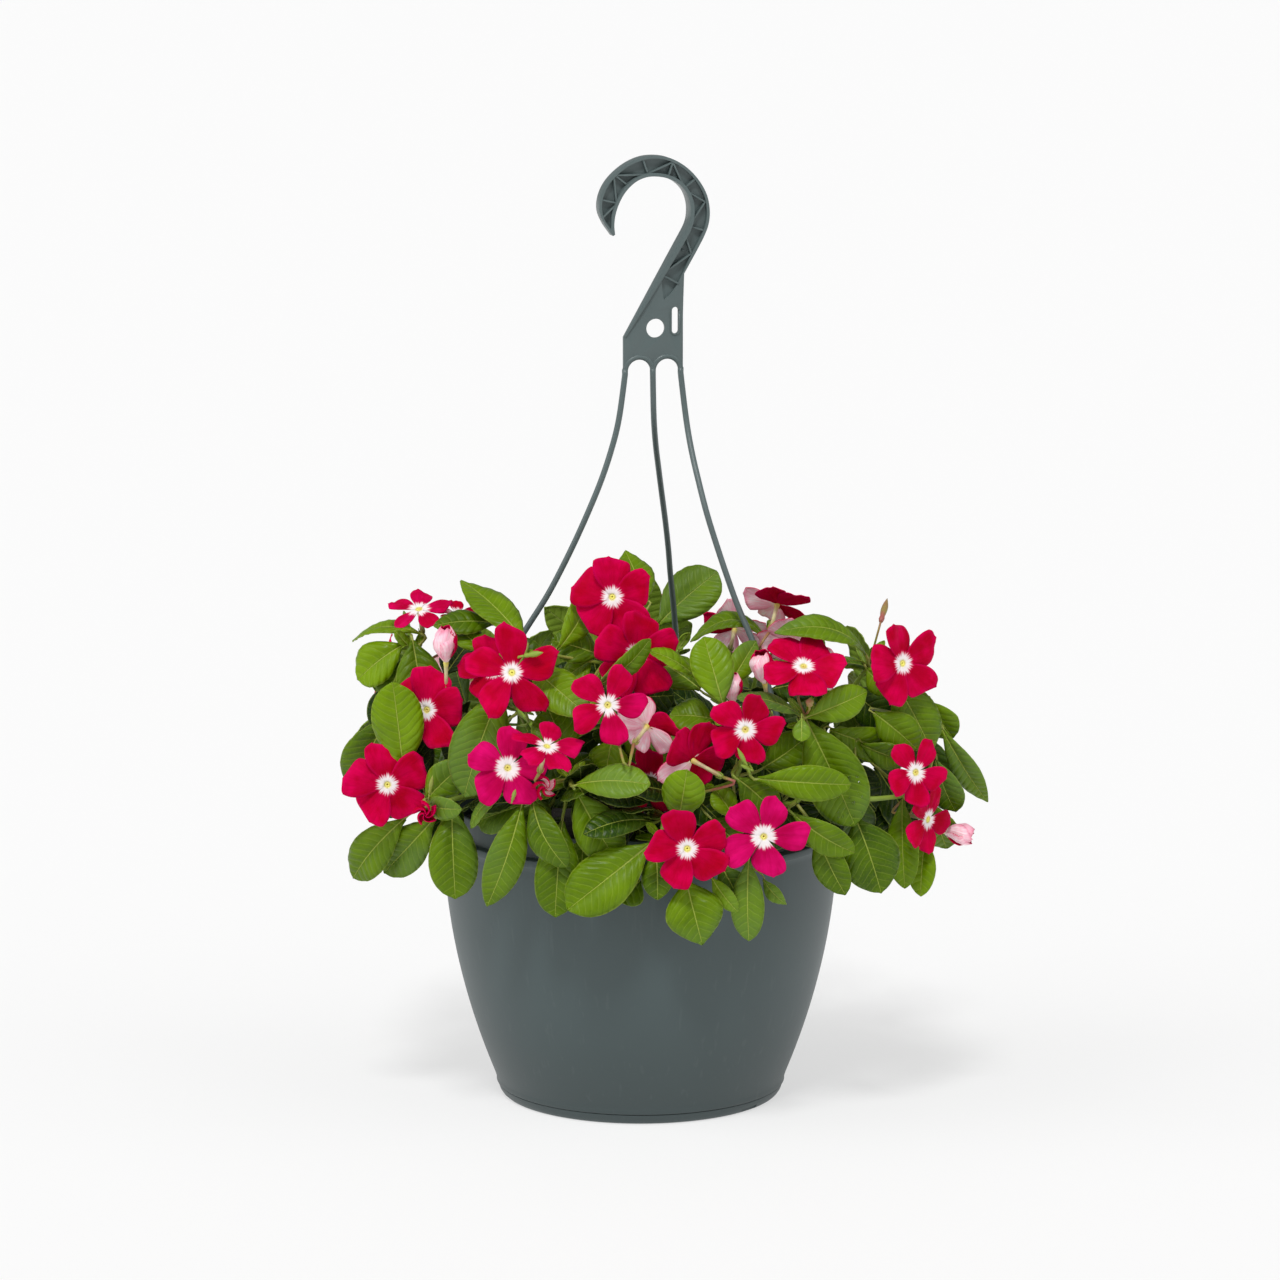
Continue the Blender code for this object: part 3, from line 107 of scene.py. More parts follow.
# Leaves of each stem: base and tip (right, up, back), width, roll and arch
LEAVES = (
    ("left_high", (
        ((-140, 298, 35), (-184, 293, 20), 19, 46, 0.16),
        ((-151, 291, 30), (-181, 268, 8), 29, 10, 0.12),
        ((-142, 293, 22), (-136, 241, 24), 31, 0, 0.06),
        ((-152, 280, 40), (-161, 255, 34), 24, 20, 0.1),
    )),
    ("left_low", (
        ((-147, 212, 2), (-154, 268, -8), 33, 0, 0.04),
        ((-161, 245, 38), (-186, 199, 30), 30, -15, 0.08),
        ((-151, 178, 22), (-185, 138, 6), 27, 0, 0.1),
        ((-133, 178, 30), (-165, 141, 22), 28, -10, 0.06),
        ((-121, 186, 16), (-119, 124, 8), 31, 0, 0.07),
        ((-137, 188, 10), (-114, 184, 4), 16, 45, 0.15),
        ((-137, 191, 20), (-112, 215, 26), 24, 20, 0.06),
    )),
    ("left_inner", (
        ((-88, 262, 18), (-113, 191, 12), 37, 5, 0.08),
        ((-74, 293, 32), (-115, 333, 20), 26, 25, 0.06),
        ((-88, 303, 40), (-135, 305, 30), 22, 48, 0.1),
        ((-100, 287, 36), (-117, 303, 34), 18, 10, 0.05),
        ((-70, 277, 26), (-33, 245, 14), 27, 5, 0.1),
    )),
    ("front_left", (
        ((-87, 194, 14), (-109, 171, 6), 15, 48, 0.16),
        ((-76, 187, 8), (-99, 119, 0), 24, -10, 0.1),
        ((-69, 191, 10), (-47, 145, 2), 23, 30, 0.18),
        ((-77, 186, 34), (-105, 176, 40), 26, 10, 0.05),
    )),
    ("front_mid_left", (
        ((-50, 176, 16), (-55, 112, 8), 28, 0, 0.06),
        ((-41, 195, 12), (-14, 148, 14), 30, 5, 0.05),
        ((-41, 200, 4), (7, 200, -8), 24, -12, 0.08),
        ((-48, 219, 30), (-59, 250, 34), 34, 10, 0.1),
        ((-36, 165, 30), (-38, 141, 26), 24, 10, 0.05),
    )),
    ("centre_top", (
        ((-26, 284, 44), (-57, 294, 30), 27, 15, 0.1),
        ((-31, 281, 48), (-49, 269, 44), 20, 30, 0.06),
        ((-53, 288, 20), (-33, 326, 30), 22, 40, 0.14),
        ((-26, 255, 50), (-51, 247, 52), 26, 10, 0.06),
        ((-25, 266, 6), (6, 300, -14), 18, 58, 0.12),
        ((4, 319, 44), (-10, 352, 40), 24, 20, 0.06),
        ((-18, 229, 44), (-22, 208, 40), 26, 15, 0.06),
    )),
    ("top_back", (
        ((9, 303, 238), (50, 337, 206), 35, -8, 0.04),
    )),
    ("mid_right", (
        ((36, 272, 30), (6, 288, 22), 16, 45, 0.1),
        ((38, 262, 44), (11, 281, 48), 24, 10, 0.06),
        ((53, 252, 14), (40, 297, 8), 27, 5, 0.05),
        ((56, 264, 34), (74, 294, 40), 17, 20, 0.05),
        ((48, 242, 34), (18, 245, 38), 27, 20, 0.08),
        ((60, 178, 20), (45, 200, 20), 18, 10, 0.1),
        ((62, 204, 12), (88, 180, 14), 25, 5, 0.06),
        ((75, 204, 8), (136, 200, -6), 23, 30, 0.1),
        ((78, 211, 28), (107, 232, 30), 24, 20, 0.06),
    )),
    ("front_mid", (
        ((4, 162, 10), (-47, 116, 4), 36, 5, 0.06),
        ((10, 156, 14), (11, 124, 8), 20, 0, 0.08),
        ((29, 137, 14), (40, 94, 6), 36, 0, 0.06),
        ((0, 137, 26), (-12, 122, 22), 20, 10, 0.05),
    )),
    ("centre_front", (
        ((24, 178, 14), (30, 211, 0), 27, 0, 0.08),
        ((-5, 232, 34), (7, 211, 32), 15, 20, 0.08),
        ((38, 232, 44), (15, 240, 46), 26, 20, 0.08),
        ((46, 176, 34), (65, 162, 30), 24, 20, 0.06),
    )),
    ("front_right", (
        ((46, 139, 16), (63, 116, 8), 13, 35, 0.08),
        ((70, 151, 12), (69, 97, 4), 21, 0, 0.05),
        ((79, 138, 14), (94, 121, 8), 11, 45, 0.1),
        ((52, 147, 22), (65, 123, 20), 20, 10, 0.06),
    )),
    ("right_high", (
        ((106, 244, 12), (145, 261, 10), 22, 25, 0.1),
        ((102, 245, 14), (61, 257, 10), 20, 45, 0.1),
        ((103, 243, 2), (103, 228, -2), 11, 0, 0.1),
        ((106, 242, 14), (138, 172, 4), 38, 5, 0.08),
        ((98, 181, 10), (138, 155, 2), 21, 35, 0.1),
        ((113, 168, 16), (132, 127, 10), 22, 25, 0.06),
    )),
    ("right_top_back", (
        ((83, 288, 110), (31, 293, 108), 24, 50, 0.36),
        ((84, 288, 96), (103, 312, 92), 18, 30, 0.08),
        ((69, 285, 114), (53, 271, 112), 24, 20, 0.08),
    )),
    ("far_right_top", (
        ((142, 284, 22), (84, 299, 18), 23, 35, 0.2),
        ((144, 276, 34), (159, 259, 26), 18, 40, 0.08),
        ((145, 276, 44), (122, 279, 44), 16, 45, 0.08),
    )),
    ("far_right", (
        ((149, 247, 26), (177, 223, 20), 26, 15, 0.08),
        ((162, 268, 20), (186, 219, 10), 32, 0, 0.08),
        ((185, 254, 36), (200, 230, 34), 22, 25, 0.06),
        ((193, 236, 26), (223, 188, 18), 17, 30, 0.08),
    )),
    ("right_low", (
        ((119, 237, 34), (171, 223, 32), 24, 45, 0.08),
        ((138, 227, 40), (175, 210, 40), 20, 50, 0.06),
        ((189, 216, 30), (202, 182, 26), 24, 30, 0.08),
        ((138, 178, 14), (155, 128, 6), 38, 0, 0.05),
        ((168, 190, 26), (170, 131, 22), 22, 20, 0.08),
        ((183, 166, 28), (180, 126, 22), 18, 10, 0.06),
        ((185, 190, 34), (195, 157, 30), 24, 20, 0.06),
    )),
)

# Blooms: stem, centre (right, up, back), radius, facing (turn, lift), roll, openness, fullness
BLOOMS = (
    ("left_low", (-162, 200, 0), 28.5, (0, -2), 25, 1.0, 0.9),
    ("left_inner", (-82, 273, 0), 32.5, (-4, 12), 16, 1.0, 0.7),
    ("left_high", (-141, 314, 8), 22, (-12, 63), 20, 1.0, 0.5),
    ("left_high", (-117, 311, 44), 16, (20, 72), 0, 1.0, 0.6),
    ("left_high", (-124, 280, 14), 23, (0, 80), 10, 0.08, 1.0),
    ("left_low", (-136, 249, 24), 28, (-22, 8), 10, 1.0, 1.0),
    ("left_inner", (-100, 272, 38), 24, (-20, 20), 30, 1.0, 1.0),
    ("front_left", (-85, 211, 0), 27.5, (4, 4), 8, 1.0, 0.6),
    ("front_mid_left", (-62, 223, 10), 24, (24, 66), -12, 1.0, 0.5),
    ("centre_top", (-18, 322, 8), 27, (-4, 6), 16, 1.0, 1.0),
    ("centre_top", (-3, 285, 20), 29, (12, 4), 10, 1.0, 1.0),
    ("centre_top", (-21, 252, 4), 27, (8, 8), -7, 1.0, 0.5),
    ("centre_top", (4, 238, 18), 23, (152, 22), 20, 1.0, 0.9),
    ("centre_front", (33, 216, 20), 26, (-112, 24), 40, 1.0, 1.0),
    ("centre_front", (6, 204, 28), 26, (-14, -12), 20, 1.0, 0.8),
    ("mid_right", (67, 236, 2), 25, (6, 2), -4, 1.0, 0.6),
    ("mid_right", (59, 254, 26), 19, (-10, 80), 10, 0.1, 1.0),
    ("right_high", (104, 277, 4), 28, (8, 52), -20, 1.0, 0.8),
    ("right_top_back", (97, 293, 76), 23, (170, 36), 0, 1.0, 0.9),
    ("mid_right", (79, 268, 16), 22, (-30, 66), 10, 0.2, 1.0),
    ("far_right_top", (167, 279, 0), 28, (36, 8), 28, 1.0, 0.9),
    ("far_right", (176, 208, 4), 24, (30, 8), -20, 1.0, 0.6),
    ("right_low", (184, 177, 8), 25, (50, -4), 60, 1.0, 0.6),
    ("right_low", (194, 170, 14), 19, (86, -6), 10, 0.3, 1.0),
    ("front_mid", (30, 158, -2), 28, (0, -4), 30, 1.0, 0.9),
    ("front_right", (79, 166, -4), 29, (0, -4), -5, 1.0, 0.45),
    ("right_top_back", (87, 317, 74), 23, (160, 46), 10, 1.0, 1.0),
    ("top_back", (60, 301, 132), 23, (168, 34), 10, 1.0, 0.8),
)

# Rolled buds: stem, centre (right, up, back), radius, facing (turn, lift)
BUDS = (
    ("left_low", (-138, 181, -7), 6.8, (0, -4)),
    ("front_mid_left", (-61, 198, 4), 6.8, (14, 4)),
)

# Slender closed buds: stem, foot and tip (right, up, back), radius and how pink
SPIKES = (
    ("left_low", (-135, 194, 2), (-133, 206, -2), 1.5, 0.2),
    ("left_inner", (-74, 284, -5), (-62, 286, -8), 1.9, 0.0),
    ("mid_right", (68, 212, 0), (62, 224, -4), 1.5, 0.0),
    ("mid_right", (70, 210, 0), (64, 213, -4), 1.2, 0.1),
    ("far_right_top", (153, 306, 10), (157, 321, 10), 2.2, 1.0),
    ("right_high", (108, 251, -4), (108, 256.5, -6), 2.6, 1.0),
    ("front_left", (-82, 190, 0), (-80, 197, -4), 1.3, 0.1),
)

# Leaves deep between the stems, painted dark as shade: stem, base and tip (right, up, back), width
SHADE_LEAVES = (
    ("right_low", (150, 212, 62), (176, 172, 58), 32), ("right_low", (158, 196, 66), (160, 146, 56), 30),
    ("right_high", (124, 214, 52), (152, 184, 46), 30), ("far_right", (176, 236, 62), (192, 192, 52), 28),
    ("right_low", (130, 196, 60), (140, 160, 56), 30), ("right_high", (112, 226, 54), (140, 222, 50), 28),
    ("left_low", (-138, 216, 56), (-166, 180, 48), 30), ("left_low", (-130, 200, 52), (-124, 158, 44), 28),
    ("left_high", (-150, 270, 60), (-168, 232, 52), 30), ("left_inner", (-100, 250, 58), (-122, 212, 50), 30),
    ("front_left", (-78, 206, 40), (-96, 232, 44), 28),
    ("front_mid_left", (-40, 196, 44), (-24, 168, 40), 28),
    ("centre_front", (30, 196, 48), (52, 176, 46), 28), ("mid_right", (70, 220, 46), (92, 200, 44), 28),
    ("centre_top", (-30, 262, 66), (-60, 270, 62), 28), ("right_top_back", (84, 262, 62), (116, 262, 58), 28),
    ("far_right_top", (134, 262, 60), (160, 240, 52), 28), ("centre_top", (-6, 256, 66), (22, 258, 64), 28),
)

# Stems at the back and sides: name, hole, crown (angle, radius, height), leaves, blooms
BACK_STEMS = (
    ("side_left", (-112, 88), (-112, 150, 236), 6, 1),
    ("back_left", (-146, 80), (-146, 146, 226), 6, 1),
    ("back_mid", (184, 72), (186, 140, 246), 7, 2),
    ("back_right", (142, 82), (142, 148, 228), 6, 1),
    ("side_right", (108, 92), (110, 158, 232), 6, 1),
)


def tube(points, radii, sides):
    """Vertices and triangles of a closed round bar along points."""
    verts = []
    faces = []
    across = None
    count = len(points)
    for i, point in enumerate(points):
        ahead = points[min(i + 1, count - 1)] - points[max(i - 1, 0)]
        ahead.normalize()
        if across is None:
            across = ahead.orthogonal().normalized()
        across = (across - ahead * across.dot(ahead)).normalized()
        other = ahead.cross(across)
        for k in range(sides):
            angle = 2 * math.pi * k / sides
            verts.append(point + (across * math.cos(angle) + other * math.sin(angle)) * radii[i])
    for i in range(count - 1):
        for k in range(sides):
            a = i * sides + k
            b = i * sides + (k + 1) % sides
            faces.append((a, b, b + sides))
            faces.append((a, b + sides, a + sides))
    last = (count - 1) * sides
    for k in range(1, sides - 1):
        faces.append((0, k + 1, k))
        faces.append((last, last + k, last + k + 1))
    return verts, faces


def seen(right, up, back):
    """Point on the line of sight through (right, up) of the plane y = 0, so far behind the dome's front."""
    x0, deep, wide, z0, tall = DOME
    inside = 1.0 - ((right - x0) / wide) ** 2 - (max(0.0, up - z0) / tall) ** 2
    y = -deep * math.sqrt(max(inside, 0.05)) + back
    eye = Vector(EYE_POINT)
    aim = Vector((right, 0.0, up)) - eye
    return eye + aim * ((y - eye.y) / aim.y)


def polar(angle, radius, z):
    """Point at an angle from the front towards +X."""
    turn = math.radians(angle)
    return Vector((radius * math.sin(turn), -radius * math.cos(turn), z))


def smooth_path(points, count):
    """Evenly spaced points on a Catmull-Rom curve through the given points."""
    padded = [points[0] * 2 - points[1]] + points + [points[-1] * 2 - points[-2]]
    fine = []
    for i in range(1, len(padded) - 2):
        a, b, c, d = padded[i - 1:i + 3]
        for s in range(8):
            t = s / 8
            fine.append(0.5 * (2 * b + (c - a) * t + (2 * a - 5 * b + 4 * c - d) * t * t
                               + (3 * b - 3 * c + d - a) * t ** 3))
    fine.append(points[-1])
    lengths = [0.0]
    for a, b in zip(fine, fine[1:]):
        lengths.append(lengths[-1] + (b - a).length)
    result = []
    for k in range(count + 1):
        want = lengths[-1] * k / count
        i = min(next((j for j, v in enumerate(lengths) if v >= want), len(fine) - 1), len(fine) - 1)
        i = max(i, 1)
        share = (want - lengths[i - 1]) / max(lengths[i] - lengths[i - 1], 1e-6)
        result.append(fine[i - 1].lerp(fine[i], share))
    return result


def facing(turn, lift):
    """Direction that a bloom looks in: turned from the front, then lifted."""
    a = math.radians(turn)
    b = math.radians(lift)
    return Vector((math.sin(a) * math.cos(b), -math.cos(a) * math.cos(b), math.sin(b)))


def to_viewer(point):
    """Direction in which a leaf seen from the front turns its face."""
    return (Vector(EYE_POINT) - point).normalized() + Vector((0, 0, 0.3))


def shake(rng, spread):
    """A small seeded move in all three directions."""
    return Vector([rng.uniform(-1, 1) * spread for _ in range(3)])


def bloom_frame(centre, look, roll):
    """Turn and place of a bloom whose own Z looks out along the tube."""
    side = Vector((0, 0, 1)).cross(look)
    if side.length < 0.05:
        side = Vector((1, 0, 0))
    side.normalize()
    up = look.cross(side)
    turn = math.radians(roll)
    x = side * math.cos(turn) + up * math.sin(turn)
    y = look.cross(x)
    return Matrix((x, y, look)).transposed().to_4x4(), centre


def petal_point(radius, angle, slope):
    """Point of the petal surface at a distance from the bloom's axis."""
    throat = 2.4
    run = max(radius - throat, 0.0)
    r = throat + run * math.cos(slope)
    z = run * math.sin(slope)
    return Vector((r * math.cos(angle), r * math.sin(angle), z))


def bloom_shape(centre, look, roll, size, openness, full, thick, tail):
    """Five joined petals of even thickness with the tube behind them."""
    turn, origin = bloom_frame(centre, look, roll)
    slope = math.radians(6 + 74 * (1 - openness))
    wide = 0.55 + 0.45 * full
    outline = ((-36, 0.2 + 0.42 * full), (-26 * wide, 0.93), (1, 1.0), (26 * wide, 0.9))
    verts = []
    for side in (0, 1):
        for petal in range(5):
            angle = math.radians(72 * petal - 36)
            verts.append(petal_point(2.4, angle, slope) * (1 - 0.3 * side) + Vector((0, 0, -side * thick)))
        points = [(72 * petal, 0.5, slope * 1.15) for petal in range(5)]
        for petal in range(5):
            points += [(72 * petal + degrees, share, slope) for degrees, share in outline]
        for degrees, share, rise in points:
            angle = math.radians(degrees)
            lean = Vector((math.cos(angle) * math.sin(rise), math.sin(angle) * math.sin(rise),
                           -math.cos(rise)))
            verts.append(petal_point(share * size, angle, rise) + lean * side * thick)
    faces = []
    for side in (0, 1):
        start = 30 * side
        top = []
        for p in range(5):
            q = (p + 1) % 5
            middle = 5 + p
            rim = [10 + 4 * p + k for k in range(4)] + [10 + 4 * q]
            top += [(p, rim[0], rim[1]), (p, rim[1], middle), (p, middle, q), (middle, rim[1], rim[2])]
            top += [(middle, rim[2], rim[3]), (q, middle, rim[3]), (q, rim[3], rim[4])]
        for a, b, c in top:
            if side == 1:
                b, c = c, b
            faces.append((start + a, start + b, start + c))
    faces += [(0, 1, 2), (0, 2, 3), (0, 3, 4)]
    for k in range(20):
        a = 10 + k
        b = 10 + (k + 1) % 20
        faces.append((a, a + 30, b + 30))
        faces.append((a, b + 30, b))
    for k in range(5):
        angle = math.radians(72 * k - 36)
        verts.append(Vector((1.2 * math.cos(angle), 1.2 * math.sin(angle), -tail)))
    for k in range(5):
        n = (k + 1) % 5
        faces.append((30 + k, 60 + k, 60 + n))
        faces.append((30 + k, 60 + n, 30 + n))
    faces += [(60, 62, 61), (60, 63, 62), (60, 64, 63)]
    return [turn @ v + origin for v in verts], faces


def blade_stations(width):
    """Places along a blade with its width there; wide blades have one more."""
    if width > 23:
        return ((0.0, 0.08), (0.2, 0.62), (0.5, 1.0), (0.82, 0.8), (1.0, 0.0))
    return ((0.0, 0.1), (0.36, 0.85), (0.76, 0.9), (1.0, 0.0))


def leaf_frame(base, tip, toward, roll):
    """Direction of a leaf's midrib and of its upper face."""
    axis = (tip - base).normalized()
    normal = toward - axis * toward.dot(axis)
    if normal.length < 0.05:
        normal = axis.orthogonal()
    normal.normalize()
    return axis, Matrix.Rotation(math.radians(roll), 3, axis) @ normal


def leaf_shape(root, base, tip, width, toward, roll, arch, thick):
    """Arched blade of even thickness, whose stalk is sunk in the stem at root."""
    axis, normal = leaf_frame(base, tip, toward, roll)
    length = (tip - base).length
    rows = [(root, 0.8)]
    for t, share in blade_stations(width):
        point = base.lerp(tip, t) + normal * (4 * t * (1 - t) * arch * length)
        rows.append((point, max(share * width / 2, 0.9)))
    verts = []
    for i, (point, half) in enumerate(rows):
        ahead = (rows[min(i + 1, len(rows) - 1)][0] - rows[max(i - 1, 0)][0]).normalized()
        side = ahead.cross(normal).normalized()
        up = side.cross(ahead) * (thick / 2)
        if i == len(rows) - 1:
            verts += [point + up, point - up]
        else:
            verts += [point - side * half + up, point + side * half + up,
                      point + side * half - up, point - side * half - up]
    faces = [(0, 2, 1), (0, 3, 2)]
    for i in range(len(rows) - 2):
        a, b, c, d = (4 * i + k for k in range(4))
        e, f, g, h = (4 * i + 4 + k for k in range(4))
        faces += [(a, b, f), (a, f, e), (c, d, g), (d, h, g)]
        faces += [(b, c, g), (b, g, f), (d, a, e), (d, e, h)]
    a, b, c, d = (4 * (len(rows) - 2) + k for k in range(4))
    high, low = d + 1, d + 2
    faces += [(a, b, high), (c, d, low), (b, c, low), (b, low, high), (d, a, high), (d, high, low)]
    return verts, faces


def merged(shapes):
    """One list of vertices and faces from several."""
    verts = []
    faces = []
    for shape in shapes:
        start = len(verts)
        verts += shape[0]
        faces += [tuple(i + start for i in face) for face in shape[1]]
    return verts, faces


def tree_of(shapes):
    verts, faces = merged(shapes)
    return BVHTree.FromPolygons(verts, faces) if faces else None


def touches(shape, *trees):
    own = BVHTree.FromPolygons(shape[0], shape[1])
    return any(tree is not None and own.overlap(tree) for tree in trees)


def rest_of(name, fixed, blooms, stems, stalks, leaves):
    """Search tree of all that the named stem's pieces have to stay clear of."""
    others = [shape for owner, shape in stems.items() if owner != name]
    for owner in stalks:
        if owner != name:
            others += stalks[owner] + [leaf["shape"] for leaf in leaves.get(owner, ())]
    return tree_of([fixed] + others + [b["shape"] for b in blooms])


def mesh_shape(item):
    """Vertices in mm and triangles of one of the solids."""
    item.data.calc_loop_triangles()
    verts = [v.co / MM for v in item.data.vertices]
    return verts, [tuple(t.vertices) for t in item.data.loop_triangles]


def nearest_on(path, point, back=0.0):
    """Point of a stem's path nearest to a point, or a little nearer the foot than that."""
    best = None
    for a, b in zip(path[2:], path[3:]):
        span = b - a
        limit = 1.0 - 1.2 / span.length if b == path[-1] else 1.0
        share = min(limit, max(0.0, (point - a).dot(span) / span.length_squared - back / span.length))
        spot = a + span * share
        if best is None or (spot - point).length < (best - point).length:
            best = spot
    return best


def place_blooms(fixed, rows):
    """Blooms at their seen places, slid along the line of sight until each is clear."""
    placed = []
    for stem, centre, size, look, roll, openness, full in rows:
        rng = random.Random(100 + len(placed))
        tail = TUBE_LENGTH * size / 27
        tree = tree_of([fixed] + [b["shape"] for b in placed])
        for k in range(TRIES):
            spread = k / TRIES
            slide = rng.uniform(-1, 1) * 60 * spread
            sway = rng.uniform(-1, 1) * 30 * spread
            lift = rng.uniform(-1, 1) * 30 * spread
            move = (rng.uniform(-1, 1) * 8 * spread, rng.uniform(-1, 1) * 8 * spread)
            if isinstance(centre, Vector):
                spot = centre + Vector((move[0], slide * 0.5, move[1]))
            else:
                spot = seen(centre[0] + move[0], centre[1] + move[1], centre[2] + slide)
            gaze = facing(look[0] + sway, look[1] + lift)
            wide = bloom_shape(spot, gaze, roll, size + 0.6, openness, full, PETAL + 1.0, tail + 1.0)
            if not touches(wide, tree):
                break
        else:
            print("bloom not clear", stem, centre)
        shape = bloom_shape(spot, gaze, roll, size, openness, full, PETAL, tail)
        placed.append({"stem": stem, "spot": spot, "gaze": gaze, "roll": roll, "size": size,
                       "open": openness, "full": full, "shape": shape, "end": spot - gaze * tail})
    return placed


def stem_route(hole, crown, lower):
    """Points from the hole in the soil to the crown; a low stem goes out over the collar first."""
    foot = polar(hole[0], hole[1], SOIL_TOP)
    points = [foot + Vector((0, 0, 6))]
    goal = lower if lower is not None else crown
    reach = math.hypot(goal.x, goal.y)
    angle = math.degrees(math.atan2(goal.x, -goal.y))
    if goal.z < 226 and reach > 112:
        points.append(polar(hole[0] * 0.4 + angle * 0.6, 110, 206))
        if goal.z < 200:
            points.append(polar(angle, 133, 207))
    else:
        points.append(foot.lerp(goal, 0.45) + Vector((0, 0, 10)))
    if lower is not None:
        points.append(lower)
        if crown.z > lower.z + 30:
            points.append(lower.lerp(crown, 0.5) + polar(angle, 5, 0))
    points.append(crown)
    return points


def place_stems(fixed, blooms, rows):
    """Stem paths from their holes to their crowns, bent until each is clear."""
    paths = {}
    shapes = {}
    for name, hole, crown, lower in rows:
        rng = random.Random(200 + len(paths))
        tree = tree_of([fixed] + [b["shape"] for b in blooms] + list(shapes.values()))
        route = stem_route(hole, crown, lower)
        for k in range(TRIES):
            spread = 34 * k / TRIES
            bent = [p.copy() for p in route]
            for p in bent[1:]:
                p += shake(rng, spread)
            path = [bent[0] - Vector((0, 0, 15))] + smooth_path(bent, 5)
            radii = [STEM_FOOT + (STEM_END - STEM_FOOT) * i / 6 for i in range(7)]
            if not touches(tube(path, [r + 0.9 for r in radii], STEM_SIDES), tree):
                break
        else:
            print("stem not clear", name)
        paths[name] = path
        shapes[name] = tube(path, radii, STEM_SIDES)
    return paths, shapes


def place_stalks(fixed, blooms, paths, stems):
    """Short stalks from each stem to the tube ends of its blooms."""
    stalks = {name: [] for name in paths}
    runs = {name: [] for name in paths}
    for index, bloom in enumerate(blooms):
        rng = random.Random(300 + index)
        name = bloom["stem"]
        tree = rest_of(name, fixed, blooms, stems, stalks, {})
        goal = bloom["end"] - bloom["gaze"] * (CLEAR + 0.1)
        for k in range(TRIES):
            spread = 30 * k / TRIES
            root = nearest_on(paths[name], goal + shake(rng, spread))
            bend = goal - bloom["gaze"] * min(8.0, 0.4 * (goal - root).length)
            bend += Vector([rng.uniform(-1, 1) * spread * 0.6 for _ in range(3)])
            points = [root, bend, goal]
            if not touches(tube(points, [1.5, 1.4, 1.8], 3), tree):
                break
        else:
            print("stalk not clear", name, [round(c) for c in goal])
        stalks[name].append(tube(points, [1.1, 1.0, 1.4], 3))
        runs[name].append(points)
    return stalks, runs


def place_leaves(fixed, blooms, paths, stems, stalks, rows):
    """Leaves bent clear of all that is placed before them."""
    leaves = {name: [] for name in paths}
    for index, (name, base, tip, width, roll, arch, toward) in enumerate(rows):
        rng = random.Random(400 + index)
        tree = rest_of(name, fixed, blooms, stems, stalks, leaves)
        own = tree_of([leaf["blade"] for leaf in leaves[name]])
        for k in range(TRIES):
            s = k / TRIES
            slide = (rng.uniform(-1, 1) * 30 * s, rng.uniform(-1, 1) * 70 * s)
            move = [rng.uniform(-1, 1) * 14 * s for _ in range(4)]
            spin = rng.uniform(-1, 1) * 60 * s
            if isinstance(base, Vector):
                low = base + Vector((move[0], slide[0], move[1]))
                high = tip + Vector((move[2], slide[1], move[3]))
            else:
                low = seen(base[0] + move[0], base[1] + move[1], base[2] + slide[0])
                high = seen(tip[0] + move[2], tip[1] + move[3], tip[2] + slide[1])
            view = to_viewer(low) if toward is None else toward
            root = nearest_on(paths[name], low, 3.2 * (len(leaves[name]) % 5))
            data = (root, low, high, width, view, roll + spin, arch)
            wide = leaf_shape(*data[:3], width + 0.6, *data[4:], BLADE + 0.9)
            blade = leaf_shape(low, low.lerp(high, 0.12), high, width, view, roll + spin, arch, BLADE)
            if touches(wide, tree):
                continue
            if s < 0.6 and own is not None and touches(blade, own):
                continue
            break
        else:
            print("leaf not clear", name, base, tip)
            if width < 20:
                continue
        leaves[name].append({"data": data, "blade": blade, "shape": leaf_shape(*data, BLADE), "row": index})
    return leaves


def place_buds(paths, rows):
    """Rolled buds, each a turned drop with its own short stalk sunk in the stem."""
    made = {name: [] for name in paths}
    rolled = {name: [] for name in paths}
    for name, centre, size, look in rows:
        spot = seen(*centre)
        gaze = facing(*look)
        root = nearest_on(paths[name], spot - gaze * 14)
        points = [root, spot - gaze * 14, spot - gaze * 4, spot, spot + gaze * 2.4]
        made[name].append(tube(points, [0.9, 1.0, 1.6, size, size * 0.45], 7))
        rolled[name].append((root, spot, gaze, size))
    return made, rolled


def back_rows(rng):
    """Stems, leaves and blooms round the back and sides, from the seeded draw."""
    stems = []
    leaves = []
    blooms = []
    for name, hole, crown, leaf_count, bloom_count in BACK_STEMS:
        top = polar(*crown)
        out = polar(crown[0], 1, 0)
        side = polar(crown[0] + 90, 1, 0)
        stems.append((name, hole, top, None))
        for k in range(bloom_count):
            lift = 26 - 50 * k
            spread = rng.uniform(-22, 22)
            spot = top + out * 30 + side * spread + Vector((0, 0, lift))
            look = (crown[0] + rng.uniform(-25, 25), 14)
            blooms.append((name, spot, 26, look, rng.uniform(0, 72), 1.0, 0.8))
        for k in range(leaf_count):
            way = 2 * math.pi * (k + rng.uniform(-0.2, 0.2)) / leaf_count
            length = rng.uniform(52, 68)
            reach = side * math.cos(way) + Vector((0, 0, math.sin(way)))
            base = top + reach * 6 + out * 2
            tip = base + (reach + out * rng.uniform(-0.1, 0.5)).normalized() * length
            view = out + Vector((0, 0, 0.5))
            leaves.append((name, base, tip, rng.uniform(26, 34), rng.uniform(-20, 20), 0.1, view))
    return stems, leaves, blooms


